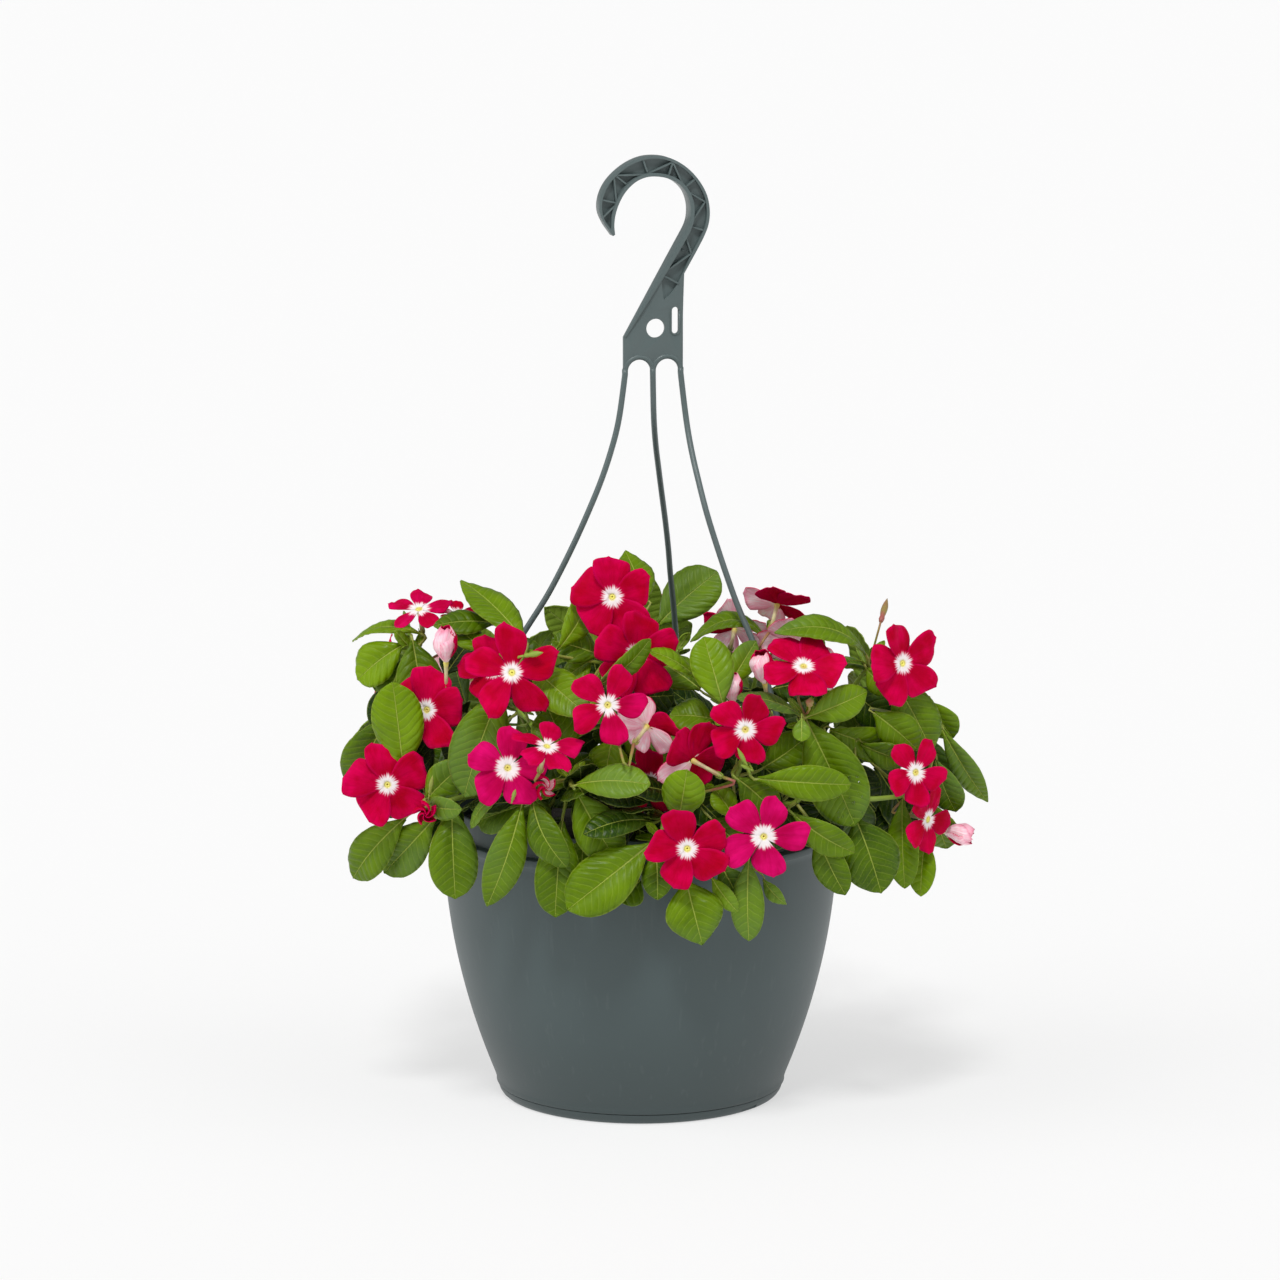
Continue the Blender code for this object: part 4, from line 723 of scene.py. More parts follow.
def make_plants(fixed):
    """Every bloom, stem, stalk, bud and leaf, laid out front first and then the back."""
    back_stems, back_leaves, back_blooms = back_rows(random.Random(17))
    blooms = place_blooms(fixed, list(BLOOMS) + back_blooms)
    rows = [(name, hole, seen(*crown), seen(*lower) if lower else None)
            for name, hole, crown, lower in STEMS]
    paths, stems = place_stems(fixed, blooms, rows + back_stems)
    buds, rolled = place_buds(paths, BUDS)
    stalks, runs = place_stalks(fixed, blooms, paths, stems)
    for name, group in buds.items():
        stalks[name] += group
    leaf_rows = [(name, *row, None) for name, rows in LEAVES for row in rows] + back_leaves
    leaves = place_leaves(fixed, blooms, paths, stems, stalks, leaf_rows)
    add_shade_leaves(fixed, blooms, paths, stems, stalks, leaves)
    add_fillers(fixed, blooms, paths, stems, stalks, leaves)
    spikes = place_spikes(paths)
    plants = {name: {"runs": runs[name], "rolled": rolled[name], "leaves": leaves[name],
                     "spikes": spikes[name]} for name in paths}
    return blooms, paths, plants


# Outlines of leaves and petals: half width by the share of the way from foot to tip
ROUND_LEAF = (
    (0.0, 0.09), (0.08, 0.2), (0.2, 0.53), (0.35, 0.82), (0.5, 0.97), (0.62, 1.0),
    (0.76, 0.93), (0.86, 0.76), (0.93, 0.53), (0.975, 0.25), (1.0, 0.02),
)
POINTED_LEAF = (
    (0.0, 0.11), (0.08, 0.24), (0.2, 0.6), (0.33, 0.88), (0.45, 0.99), (0.55, 1.0),
    (0.68, 0.87), (0.8, 0.63), (0.9, 0.36), (0.97, 0.12), (1.0, 0.02),
)
# How pointed and how bright each leaf is, by its row in LEAVES, counted over all stems; the others
# vary by the draw
POINTED = {
    0: 0.5, 1: 0.0, 2: 0.2, 4: 0.1, 5: 0.2, 11: 0.3, 12: 1.0, 15: 0.3, 17: 0.6, 22: 0.1, 23: 0.3,
    27: 0.4, 30: 1.0, 32: 0.0, 35: 0.1, 40: 0.3, 42: 0.1, 44: 1.0, 46: 0.1, 50: 0.5, 51: 0.2,
    52: 1.0, 56: 0.0, 57: 0.1, 58: 0.4, 59: 0.4, 60: 0.4, 63: 0.7, 67: 0.3, 69: 1.0, 73: 0.6,
    77: 0.8, 83: 0.5,
}
# Row 1 is set paler than the rest, partly as painted sheen on the upper left leaves
TONES = {
    0: 0.9, 1: 1.1, 2: 0.35, 4: 1.0, 5: 0.25, 11: 0.5, 12: 0.7, 15: 0.85, 20: 0.3, 21: 0.45,
    22: 0.9, 23: 0.35, 27: 0.7, 30: 0.6, 32: 0.75, 35: 0.9, 40: 0.75, 42: 0.6, 44: 0.55, 46: 0.9,
    51: 0.6, 56: 1.0, 57: 0.45, 58: 0.55, 59: 0.2, 63: 0.6, 67: 0.5, 69: 0.6, 73: 0.15,
}
NARROW_PETAL = (
    (0.0, 0.16), (0.12, 0.25), (0.24, 0.34), (0.4, 0.57), (0.55, 0.82), (0.7, 0.97),
    (0.82, 1.0), (0.93, 0.97), (1.0, 0.9),
)
BROAD_PETAL = (
    (0.0, 0.2), (0.12, 0.35), (0.21, 0.5), (0.41, 0.8), (0.6, 0.95), (0.78, 1.0),
    (0.9, 0.99), (1.0, 0.95),
)
# Distance from the axis of a furled petal, as shares of its length
FURLED = ((0.0, 0.0), (0.25, 0.12), (0.5, 0.22), (0.75, 0.23), (0.9, 0.14), (1.0, 0.05))
# Petals whose far side takes the face's colour, as if folded over, by bloom, as the way each points (right,
# up)
TURNED = {
    3: ((1, 0.2), (-1, 0)), 12: ((0.7, 0.7),), 13: ((-0.3, 1), (0.7, 0.7), (1, 0), (0.5, -1)), 4: ((1, 0),),
    16: ((-1, 0), (1, 0)),
    19: ((1, 0.2), (-0.6, 0.8)), 18: ((1, -0.2),), 23: ((-0.3, -1),),
    26: ((1, 0), (0.2, 1), (0.9, 0.4)),
    27: ((-1, 0.8),),
}
# Blooms whose petals are tipped from their tube's line: the way they face (turn, lift)
TIPPED = {13: (-150, 18)}
# Blooms that lean from their stalk's end, by how far the face moves (right, back, up)
LEANING = {6: (6.2, 0.0, 3.4)}
# Half width of the petals of the blooms seen best, as a share of their length
PETAL_WIDTH = {
    0: 0.43, 1: 0.32, 5: 0.44, 7: 0.36, 8: 0.33, 9: 0.46, 10: 0.4, 11: 0.32, 12: 0.42, 13: 0.44,
    15: 0.37, 17: 0.42, 20: 0.42, 21: 0.34, 22: 0.32, 24: 0.4, 25: 0.33,
}
# How magenta each bloom is, from crimson at 0; the rest are drawn between 0 and 0.2
MAGENTA = {2: 0.35, 7: 0.8, 8: 0.3, 11: 0.35, 25: 1.0, 17: 0.1, 24: 0.05, 5: 0.0, 9: 0.12}


# Places in a stem's list of materials, and in a bloom's; a sheet's far side takes the next one
LEAF_SLOT, STALK_SLOT, BUD_SLOT, WATER_SLOT, CRIMSON_BUD_SLOT = 0, 2, 3, 5, 6
PETAL_SLOT, TUBE_SLOT, CALYX_SLOT, TURNED_SLOT = 0, 2, 3, 4


def along(table, t):
    """Value of a table of (place, value) pairs at t."""
    for (a, low), (b, high) in zip(table, table[1:]):
        if t <= b:
            return low + (high - low) * (t - a) / (b - a)
    return table[-1][1]


def empty_shape():
    return {"verts": [], "faces": [], "slots": [], "uv": [], "tone": [], "edge": [], "run": []}


def add_point(shape, point, uv, tone, edge, run):
    shape["verts"].append(point)
    shape["uv"].append(uv)
    shape["tone"].append(tone)
    shape["edge"].append(edge)
    shape["run"].append(run)


def add_sheet(shape, blank, place, tone, slot):
    """Copy a blank's flat grid into the shape, each vertex moved by place(across, along)."""
    start = len(shape["verts"])
    for across, reach in blank[0]:
        point, uv = place(across, reach)
        add_point(shape, point, uv, tone, abs(across), reach)
    for face in blank[1]:
        shape["faces"].append(tuple(i + start for i in face))
        shape["slots"].append(slot)


def add_rod(shape, points, radii, sides, tone, slot):
    """Round closed bar along points, with its own radius at each."""
    start = len(shape["verts"])
    across = None
    count = len(points)
    length = 0.0
    for i, point in enumerate(points):
        if i:
            length += (point - points[i - 1]).length
        ahead = (points[min(i + 1, count - 1)] - points[max(i - 1, 0)]).normalized()
        if across is None:
            across = ahead.orthogonal().normalized()
        across = (across - ahead * across.dot(ahead)).normalized()
        other = ahead.cross(across)
        for k in range(sides):
            angle = 2 * math.pi * k / sides
            spot = point + (across * math.cos(angle) + other * math.sin(angle)) * radii[i]
            add_point(shape, spot, (k / sides, length / 100), tone, 0.0, i / (count - 1))
    for i in range(count - 1):
        for k in range(sides):
            a = start + i * sides + k
            b = start + i * sides + (k + 1) % sides
            shape["faces"].append((a, b, b + sides, a + sides))
            shape["slots"].append(slot)
    shape["faces"].append(tuple(start + k for k in reversed(range(sides))))
    shape["faces"].append(tuple(start + (count - 1) * sides + k for k in range(sides)))
    shape["slots"] += [slot, slot]


def shape_to_object(name, shape):
    mesh = bpy.data.meshes.new(name)
    mesh.from_pydata([v * MM for v in shape["verts"]], [], shape["faces"])
    mesh.polygons.foreach_set("material_index", shape["slots"])
    layer = mesh.uv_layers.new(name="UVMap")
    for loop in mesh.loops:
        layer.data[loop.index].uv = shape["uv"][loop.vertex_index]
    for key in ("tone", "edge", "run"):
        attribute = mesh.attributes.new(key, "FLOAT", "POINT")
        attribute.data.foreach_set("value", shape[key])
    mesh.polygons.foreach_set("use_smooth", [True] * len(mesh.polygons))
    mesh.update()
    item = bpy.data.objects.new(name, mesh)
    bpy.context.collection.objects.link(item)
    return item


def pick(*items):
    """Select these objects alone, with the first one active; nothing is selected for none."""
    for item in bpy.context.selected_objects:
        item.select_set(False)
    for item in items:
        item.select_set(True)
    if items:
        bpy.context.view_layer.objects.active = items[0]


def modify(item, kind, **settings):
    """Give an object a modifier with these settings and apply it."""
    modifier = item.modifiers.new(kind.title(), kind)
    for key, value in settings.items():
        setattr(modifier, key, value)
    pick(item)
    bpy.ops.object.modifier_apply(modifier=modifier.name)


def apply_place(item):
    pick(item)
    bpy.ops.object.transform_apply(location=True, rotation=True, scale=True)


def finish_edit():
    """Turn all faces outwards and leave edit mode."""
    bpy.ops.mesh.select_all(action="SELECT")
    bpy.ops.mesh.normals_make_consistent(inside=False)
    bpy.ops.object.mode_set(mode="OBJECT")


def make_blank(across, reach):
    """A flat grid, as its (across, along) places from -1 to 1 and from 0 to 1, and its faces."""
    pick()
    bpy.ops.mesh.primitive_grid_add(x_subdivisions=across, y_subdivisions=reach, size=2)
    grid = bpy.context.object
    places = [(v.co.x, (v.co.y + 1) / 2) for v in grid.data.vertices]
    faces = [tuple(face.vertices) for face in grid.data.polygons]
    bpy.data.objects.remove(grid, do_unlink=True)
    return places, faces


def thicken(item, depth):
    """Even thickness; the far side takes the next material slot and the rim keeps the face's."""
    modify(item, "SOLIDIFY", thickness=depth * MM, offset=0.0, material_offset=1, material_offset_rim=0)


def join(items, name):
    pick(*items)
    if len(items) > 1:
        bpy.ops.object.join()
    items[0].name = name
    items[0].data.name = name
    return items[0]


def dress(item, surfaces):
    for surface in surfaces:
        item.data.materials.append(surface)


def make_piece(name, sheets, depth, solids, surfaces):
    """One object of the sheets, made that thick, and the closed solids."""
    sheet = shape_to_object("sheets", sheets)
    dress(sheet, surfaces)
    thicken(sheet, depth)
    solid = shape_to_object("solids", solids)
    dress(solid, surfaces)
    return join([sheet, solid], name)


def finish_piece(item, node):
    """Trim the last tips to the part's overall size and hand the piece over for its node."""
    for vertex in item.data.vertices:
        for axis in range(3):
            vertex.co[axis] = min(max(vertex.co[axis], CAD_BOX[0][axis]), CAD_BOX[1][axis])
    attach(item, "root")
    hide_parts(node)


def leaf_placer(data, rng, point):
    """A function from (across, along) on the blank to the leaf's surface."""
    root, base, tip, width, view, roll, arch = data
    axis, normal = leaf_frame(base, tip, view, roll)
    side = axis.cross(normal)
    length = (tip - base).length
    fold = math.tan(math.radians(rng.uniform(5, 16)))
    twist = math.radians(rng.uniform(-9, 9))
    wave = rng.uniform(0.3, 0.9) * width / 30
    rate = rng.uniform(1.4, 2.3)
    phase = rng.uniform(0, 1)
    sway = rng.uniform(-0.02, 0.02) * length

    def place(a, b):
        t = 1 - (1 - b) ** 1.45
        half = width / 2 * (point * along(POINTED_LEAF, t) + (1 - point) * along(ROUND_LEAF, t))
        middle = base.lerp(tip, 0.985 * t) + normal * (4 * t * (1 - t) * arch * length)
        middle = middle + side * (sway * math.sin(math.pi * t))
        ahead = (axis + normal * (4 * (1 - 2 * t) * arch)).normalized()
        up = side.cross(ahead)
        turn = twist * (t - 0.4)
        out = side * math.cos(turn) + up * math.sin(turn)
        up = up * math.cos(turn) - side * math.sin(turn)
        far = abs(a)
        swell = 0.05 * width * (1 - (2 * far - 1) ** 2) * math.sin(math.pi * min(t + 0.1, 1.0))
        lift = fold * half * (far - 0.45) + swell - 0.16 * half * far ** 3
        lift += wave * a * a * math.sin(2 * math.pi * (rate * t + phase + (0.3 if a > 0 else 0.0)))
        lift += 0.014 * width * far * math.cos(2 * math.pi * (7.5 * t - 1.2 * far + phase))
        spot = middle + out * (a * half) + up * lift
        return spot, (0.5 + a * half / 100, t * length / 100)
    return place


def petal_placer(index, bloom, k, rng):
    """A function from (across, along) on the blank to one petal of a bloom."""
    turn, origin = bloom_frame(bloom["spot"], bloom.get("look", bloom["gaze"]), bloom["roll"])
    size = bloom["size"]
    full = bloom["full"]
    opened = bloom["open"] > 0.5
    middle = math.radians(72 * k + rng.uniform(-5, 5))
    wide = PETAL_WIDTH.get(index, 0.2 + 0.2 * full) if opened else 0.46
    wide *= size * rng.uniform(0.9, 1.08)
    reach = size * rng.uniform(0.93, 1.0)
    crest = rng.choice((0.14, 0.29, 0.43, 0.57))
    fall = rng.uniform(0.13, 0.26)
    drop = rng.uniform(0.03, 0.08)
    lean = rng.uniform(-0.12, 0.14)
    nib = rng.uniform(0.0, 0.03)
    wave = [rng.uniform(-0.055, 0.055) * size for _ in range(3)]
    droop = rng.uniform(0.02, 0.1) * size
    phase = rng.uniform(0, 6)
    tilt = 0.1 + 0.07 * full

    def place(a, b):
        side = (a + crest) / (1 + crest) if a > -crest else (-crest - a) / (1 - crest)
        rim = 1 - nib - (fall if a > -crest else drop) * side - 0.05 * abs(a) ** 8
        rim += nib * max(0.0, 1 - abs(a + crest) / 0.15)
        share = full * along(BROAD_PETAL, b) + (1 - full) * along(NARROW_PETAL, b)
        x = -a * wide * share
        if opened:
            out = 1.5 + (reach * rim - 1.5) * b
            z = (0.1 + lean) * (out - 1.5) + x * tilt * min(1.0, 2.2 * b) - droop * b * b
            z += wave[0] * b * b * a + wave[1] * b ** 3 * math.sin(3 * a) + wave[2] * b * b * a * a
            z += 0.012 * size * b ** 4 * math.sin(9 * a + phase)
            z -= 0.03 * size * max(0.0, b - 0.72) / 0.28 * abs(a)
            z -= 0.018 * size * math.exp(-(a / 0.16) ** 2) * math.sin(math.pi * min(1.0, b * 1.1))
            local = Vector((out * math.cos(middle) - x * math.sin(middle),
                            out * math.sin(middle) + x * math.cos(middle), z))
        else:
            out = 1.2 + size * (along(FURLED, b) + 0.5 * bloom["open"] * b ** 3)
            angle = middle + x / (out + 1.2) * 0.95 + 0.5 * b
            out += 0.045 * size * a * min(1.0, 3 * b)
            z = size * 1.04 * b * rim * (1 - 0.2 * bloom["open"])
            local = Vector((out * math.cos(angle), out * math.sin(angle), z))
            out = 1.5 + (size - 1.5) * b
        return turn @ local + origin, (0.5 + x / 100, math.hypot(out, x) / 100)
    return place


def add_tube(shape, bloom):
    """The tube behind a bloom with its small ringed mouth, and the green calyx round its foot."""
    turn, origin = bloom_frame(bloom["spot"], bloom["gaze"], bloom["roll"])
    tail = TUBE_LENGTH * bloom["size"] / 27
    profile = ((-2.4, 0.3), (-0.8, 0.45), (0.2, 0.75), (0.35, 1.15), (0.05, 1.7), (-0.7, 1.75),
               (-0.16 * tail, 1.45), (-0.38 * tail, 1.2), (-0.62 * tail, 1.25), (-0.82 * tail, 1.45),
               (-0.94 * tail, 1.2), (-tail, 0.9))
    start = len(shape["verts"])
    sides = 10
    for i, (z, radius) in enumerate(profile):
        for k in range(sides):
            angle = 2 * math.pi * k / sides
            spot = turn @ Vector((radius * math.cos(angle), radius * math.sin(angle), z)) + origin
            run = 0.0 if z > -0.5 else min(1.0, -z / tail)
            add_point(shape, spot, (k / sides, -z / 100), 0.0, 0.0, run)
    for i in range(len(profile) - 1):
        for k in range(sides):
            a = start + i * sides + k
            b = start + i * sides + (k + 1) % sides
            shape["faces"].append((a, a + sides, b + sides, b))
            shape["slots"].append(TUBE_SLOT)
    shape["faces"].append(tuple(start + k for k in range(sides)))
    last = start + (len(profile) - 1) * sides
    shape["faces"].append(tuple(last + k for k in reversed(range(sides))))
    shape["slots"] += [TUBE_SLOT, TUBE_SLOT]
    for k in range(5):
        angle = 2 * math.pi * (k + 0.5) / 5
        reach = Vector((math.cos(angle), math.sin(angle), 0))
        line = [turn @ (reach * r + Vector((0, 0, -tail + z))) + origin
                for r, z in ((0.7, 0.2), (1.5, 0.9), (1.9, 2.4), (2.1, 4.6))]
        add_rod(shape, line, [0.5, 0.6, 0.42, 0.06], 5, 0.3, CALYX_SLOT)


def turned_petals(index, bloom):
    """Numbers of the petals that point the ways listed in TURNED."""
    turn = bloom_frame(bloom["spot"], bloom.get("look", bloom["gaze"]), bloom["roll"])[0]
    chosen = set()
    for right, up in TURNED.get(index, ()):
        reach = []
        for k in range(5):
            angle = math.radians(72 * k)
            way = turn @ Vector((math.cos(angle), math.sin(angle), 0))
            reach.append(way.x * right + way.z * up)
        chosen.add(reach.index(max(reach)))
    return chosen


def build_bloom(index, bloom, blank, surfaces):
    """Five petals, the turned ones with the face's colour on both sides, and the tube behind them."""
    rng = random.Random(900 + index)
    if index in TIPPED:
        bloom["look"] = facing(*TIPPED[index])
    if index in LEANING:
        line = bloom["spot"] + Vector(LEANING[index]) - bloom["end"]
        bloom["spot"] = bloom["end"] + line.normalized() * (bloom["spot"] - bloom["end"]).length
        bloom["gaze"] = line.normalized()
    tone = MAGENTA.get(index, rng.uniform(0.0, 0.18))
    turned = turned_petals(index, bloom)
    petals = empty_shape()
    for k in range(5):
        # Tone drawn per petal; below zero it paints the petal darker, as painted shade
        shade = min(1.0, tone + rng.uniform(-0.16, 0.14))
        slot = TURNED_SLOT if k in turned else PETAL_SLOT
        add_sheet(petals, blank, petal_placer(index, bloom, k, rng), shade, slot)
    back = empty_shape()
    add_tube(back, bloom)
    return make_piece("flower_%02d" % (index + 1), petals, PETAL_SHEET, back, surfaces)


def add_rolled_bud(sheets, solids, blank, row):
    """A furled bud: five petals wound one over the next round the axis."""
    root, spot, gaze, size = row
    turn, origin = bloom_frame(spot, gaze, 0)
    for k in range(5):
        first = 2 * math.pi * k / 5

        def place(a, b, first=first):
            wind = (a + 1) / 2
            angle = first + 1.9 * wind
            swell = math.sin(math.pi * (0.12 + 0.62 * b)) ** 0.6
            radius = 1.2 * size * (0.08 + 0.92 * wind ** 0.85) * swell
            height = 1.2 * size * (-0.75 + 1.15 * b * (1 - 0.3 * wind) + 0.03 * math.sin(5 * a + k))
            local = Vector((radius * math.cos(angle), radius * math.sin(angle), height))
            return turn @ local + origin, (0.5 + a * 0.05, 0.18 + 0.08 * b)
        add_sheet(sheets, blank, place, 0.12, CRIMSON_BUD_SLOT if spot.x < -100 else BUD_SLOT)
    stalk = [root, spot - gaze * 14, spot - gaze * 4.6]
    add_rod(solids, smooth_path(stalk, 8), [1.0] * 8 + [1.5], 8, 0.7, STALK_SLOT)


def add_spike(solids, row):
    """A slender closed bud on its thin stalk."""
    root, base, tip, radius, tone = row
    ahead = tip - base
    add_rod(solids, smooth_path([root, base - ahead * 0.3, base], 6), [0.7] * 7, 7, tone * 0.8, STALK_SLOT)
    line = smooth_path([base, base.lerp(tip, 0.5), tip], 8)
    add_rod(solids, line, [radius * r for r in (0.55, 0.85, 0.7, 0.9, 1.0, 0.95, 0.75, 0.42, 0.08)],
            8, tone, STALK_SLOT)


def add_drops(solids, place, rng):
    """Beads of water on the outer half of one leaf, each a low dome."""
    for _ in range(30):
        across = rng.uniform(-0.7, 0.7)
        reach = rng.uniform(0.4, 0.84)
        spot = place(across, reach)[0]
        ahead = (place(across, reach + 0.02)[0] - spot).normalized()
        side = (place(across + 0.05, reach)[0] - spot).normalized()
        up = side.cross(ahead)
        radius = rng.uniform(0.35, 0.8) * rng.choice((1.0, 1.0, 1.6))
        line = [spot + up * (0.25 + h * radius) for h in (-0.25 / radius, 0.0, 0.3, 0.5, 0.6)]
        add_rod(solids, line, [radius * r for r in (1.0, 1.0, 0.85, 0.5, 0.15)], 10, 0.0, WATER_SLOT)


def add_stalk(solids, data):
    """The leaf's own stalk, which runs on under the blade as its raised midrib."""
    root, base, tip, width, view, roll, arch = data
    axis, normal = leaf_frame(base, tip, view, roll)
    ahead = (axis + normal * (4 * arch)).normalized()
    scale = min(1.0, 0.3 + width / 34)
    line = [root, base - ahead * min(4.0, 0.5 * (base - root).length), base + ahead * 2,
            base.lerp(tip, 0.2) + normal * (0.55 * arch * (tip - base).length)]
    line = [p - normal * (0.35 * min(1.0, i)) for i, p in enumerate(line)]
    radii = [1.15] * 4 + [1.1, 1.0, 0.9, 0.8, 0.65, 0.5, 0.25]
    add_rod(solids, smooth_path(line, 10), [r * scale for r in radii], 8, 0.25, STALK_SLOT)


def build_stem(name, path, plant, blanks, surfaces):
    """One leafy stem: its shoot, leaves, flower stalks and buds, as one piece."""
    rng = random.Random(sum(ord(c) * (i + 3) for i, c in enumerate(name)))
    sheets = empty_shape()
    solids = empty_shape()
    count = 36
    line = smooth_path(path, count)
    radii = [STEM_FOOT + (STEM_END - STEM_FOOT) * i / count for i in range(count + 1)]
    add_rod(solids, line, radii, 10, 0.0, STALK_SLOT)
    for leaf in plant["leaves"]:
        point = POINTED.get(leaf["row"], rng.uniform(0.0, 0.55))
        tone = TONES.get(leaf["row"], rng.uniform(0.15, 0.9))
        if leaf["row"] < 0:
            tone = leaf["tone"]
        place = leaf_placer(leaf["data"], rng, point)
        add_sheet(sheets, blanks[0], place, tone, LEAF_SLOT)
        add_stalk(solids, leaf["data"])
        if leaf["row"] == WET_LEAF:
            add_drops(solids, place, rng)
    for points in plant["runs"]:
        curve = smooth_path(points, 12)
        radii = [1.1] + [0.85] * 10 + [0.95, 1.1]
        add_rod(solids, curve, radii, 8, rng.uniform(0.5, 1.0), STALK_SLOT)
    for bud in plant["rolled"]:
        add_rolled_bud(sheets, solids, blanks[1], bud)
    for spike in plant["spikes"]:
        add_spike(solids, spike)
    return make_piece("sprig_" + name, sheets, LEAF_SHEET, solids, surfaces)


def small_leaf(joint, way, reach, length, width, view, rng, tone):
    base = joint + way * reach
    tip = base + way * length
    data = (joint, base, tip, width, view, rng.uniform(-25, 25), rng.uniform(0.02, 0.14))
    return {"data": data, "row": -1, "tone": tone}


def add_shade_leaves(fixed, blooms, paths, stems, stalks, leaves):
    """Leaves deep between the stems, painted dark as shade, where each is clear of the rest."""
    rng = random.Random(83)
    for name, base, tip, width in SHADE_LEAVES:
        tree = rest_of(name, fixed, blooms, stems, stalks, leaves)
        for k in range(SHADE_TRIES):
            spread = 40 * k / SHADE_TRIES
            low = seen(base[0], base[1], base[2] + rng.uniform(-1, 1) * spread)
            high = seen(tip[0] + rng.uniform(-0.2, 0.2) * spread, tip[1] + rng.uniform(-0.2, 0.2) * spread,
                        tip[2] + rng.uniform(-1, 1) * spread)
            root = nearest_on(paths[name], low)
            data = (root, low, high, width, to_viewer(low), rng.uniform(-20, 20), 0.07)
            if not touches(leaf_shape(*data[:3], width + 1.5, *data[4:], BLADE + 2.0), tree):
                # Tone below zero: painted shade, darkened in leaf_surface
                leaves[name].append({"data": data, "row": -1, "tone": rng.uniform(-0.5, -0.1),
                                     "blade": leaf_shape(low, low.lerp(high, 0.12), *data[2:], SMALL_BLADE),
                                     "shape": leaf_shape(*data, SMALL_BLADE)})
                break


def add_fillers(fixed, blooms, paths, stems, stalks, leaves):
    """Leaves from the lower joints of each stem, most of them painted dark as shade, and the tuft of young
    ones at its tip.
    """
    rng = random.Random(61)
    for name, path in paths.items():
        tree = rest_of(name, fixed, blooms, stems, stalks, leaves)
        for k in range(FILLERS + TUFT):
            young = k >= FILLERS
            own = tree_of([leaf["blade"] for leaf in leaves[name]])
            for _ in range(FILLER_TRIES):
                joint = path[rng.choice((2, 3, 4, 5))]
                if young:
                    joint = path[-1].lerp(path[-2], rng.uniform(0.02, 0.3))
                out = Vector((joint.x, joint.y, 0)).normalized()
                way = Vector((rng.uniform(-1, 1), rng.uniform(-1, 1), rng.uniform(-0.5, 0.9))).normalized()
                view = out * rng.uniform(0.3, 1.2) + Vector((0, 0, 1))
                if young:
                    way = (way + out * 0.3 + Vector((0, 0, 0.5))).normalized()
                    length = rng.uniform(9, 19)
                    leaf = small_leaf(joint, way, 1.6, length, length * 0.42, view, rng,
                                      rng.uniform(0.8, 1.3))
                else:
                    way = (way + out * 0.5).normalized()
                    # Low tones here are painted shade for the leaves deep in the plant
                    leaf = small_leaf(joint, way, rng.uniform(5, 10), rng.uniform(30, 58),
                                      rng.uniform(18, 30), view, rng, rng.uniform(-0.6, 0.1))
                root, base, tip, width = leaf["data"][:4]
                if tip.z < 178 or math.hypot(tip.x, tip.y) > 172:
                    continue
                spare = 0.4 if young else 2.0
                wide = leaf_shape(root, base, tip, width + spare, *leaf["data"][4:], SMALL_BLADE + spare)
                leaf["blade"] = leaf_shape(base, base.lerp(tip, 0.12), *leaf["data"][2:], SMALL_BLADE)
                if touches(wide, tree) or touches(leaf["blade"], own):
                    continue
                leaf["shape"] = leaf_shape(*leaf["data"], SMALL_BLADE)
                leaves[name].append(leaf)
                break


def place_spikes(paths):
    spikes = {name: [] for name in paths}
    for name, base, tip, radius, tone in SPIKES:
        low = seen(*base)
        spikes[name].append((nearest_on(paths[name], low), low, seen(*tip), radius, tone))
    return spikes


def plug(tree, entry, socket):
    """Link another socket to this one, or set a value or a colour of three on it; None leaves it."""
    if isinstance(entry, bpy.types.NodeSocket):
        tree.links.new(entry, socket)
    elif entry is not None:
        colour = socket.type == "RGBA" and len(entry) == 3
        socket.default_value = (*entry, 1.0) if colour else entry


def put(tree, kind, *inputs, **settings):
    """A new node with these settings; each input in turn is plugged in."""
    node = tree.nodes.new(kind)
    for key, value in settings.items():
        setattr(node, key, value)
    for place, entry in enumerate(inputs):
        plug(tree, entry, node.inputs[place])
    return node


def calc(tree, operation, a, b=None, c=None):
    return put(tree, "ShaderNodeMath", a, b, c, operation=operation).outputs[0]


def fade(tree, value, low, high, first=0.0, last=1.0):
    """value carried smoothly from first at low to last at high."""
    return put(tree, "ShaderNodeMapRange", value, low, high, first, last,
               interpolation_type="SMOOTHSTEP").outputs[0]


def blend(tree, share, a, b):
    """Colour between a and b."""
    node = put(tree, "ShaderNodeMix", share, data_type="RGBA")
    plug(tree, a, node.inputs[6])
    plug(tree, b, node.inputs[7])
    return node.outputs[2]


def mark(tree, name):
    """A value that each vertex carries: tone of its petal or leaf, edge across it, run along it."""
    return put(tree, "ShaderNodeAttribute", attribute_name=name).outputs["Fac"]


def noise_of(tree, vector, scale, detail=2.0, roughness=0.5):
    node = put(tree, "ShaderNodeTexNoise")
    for label, entry in (("Vector", vector), ("Scale", scale), ("Detail", detail),
                         ("Roughness", roughness)):
        plug(tree, entry, node.inputs[label])
    return node.outputs[0]


def object_place(tree):
    return put(tree, "ShaderNodeTexCoord").outputs["Object"]


def bump(tree, height, strength, distance):
    node = put(tree, "ShaderNodeBump")
    for label, entry in (("Strength", strength), ("Distance", distance), ("Height", height)):
        plug(tree, entry, node.inputs[label])
    return node.outputs[0]


def new_surface(name, roughness):
    surface = bpy.data.materials.new(name)
    surface.use_nodes = True
    shader = surface.node_tree.nodes["Principled BSDF"]
    shader.inputs["Roughness"].default_value = roughness
    return surface, surface.node_tree, shader


def srgb(r, g, b):
    """Linear colour of a colour read off in 0 to 255."""
    return tuple((c / 255 / 12.92 if c <= 10 else ((c / 255 + 0.055) / 1.055) ** 2.4) for c in (r, g, b))


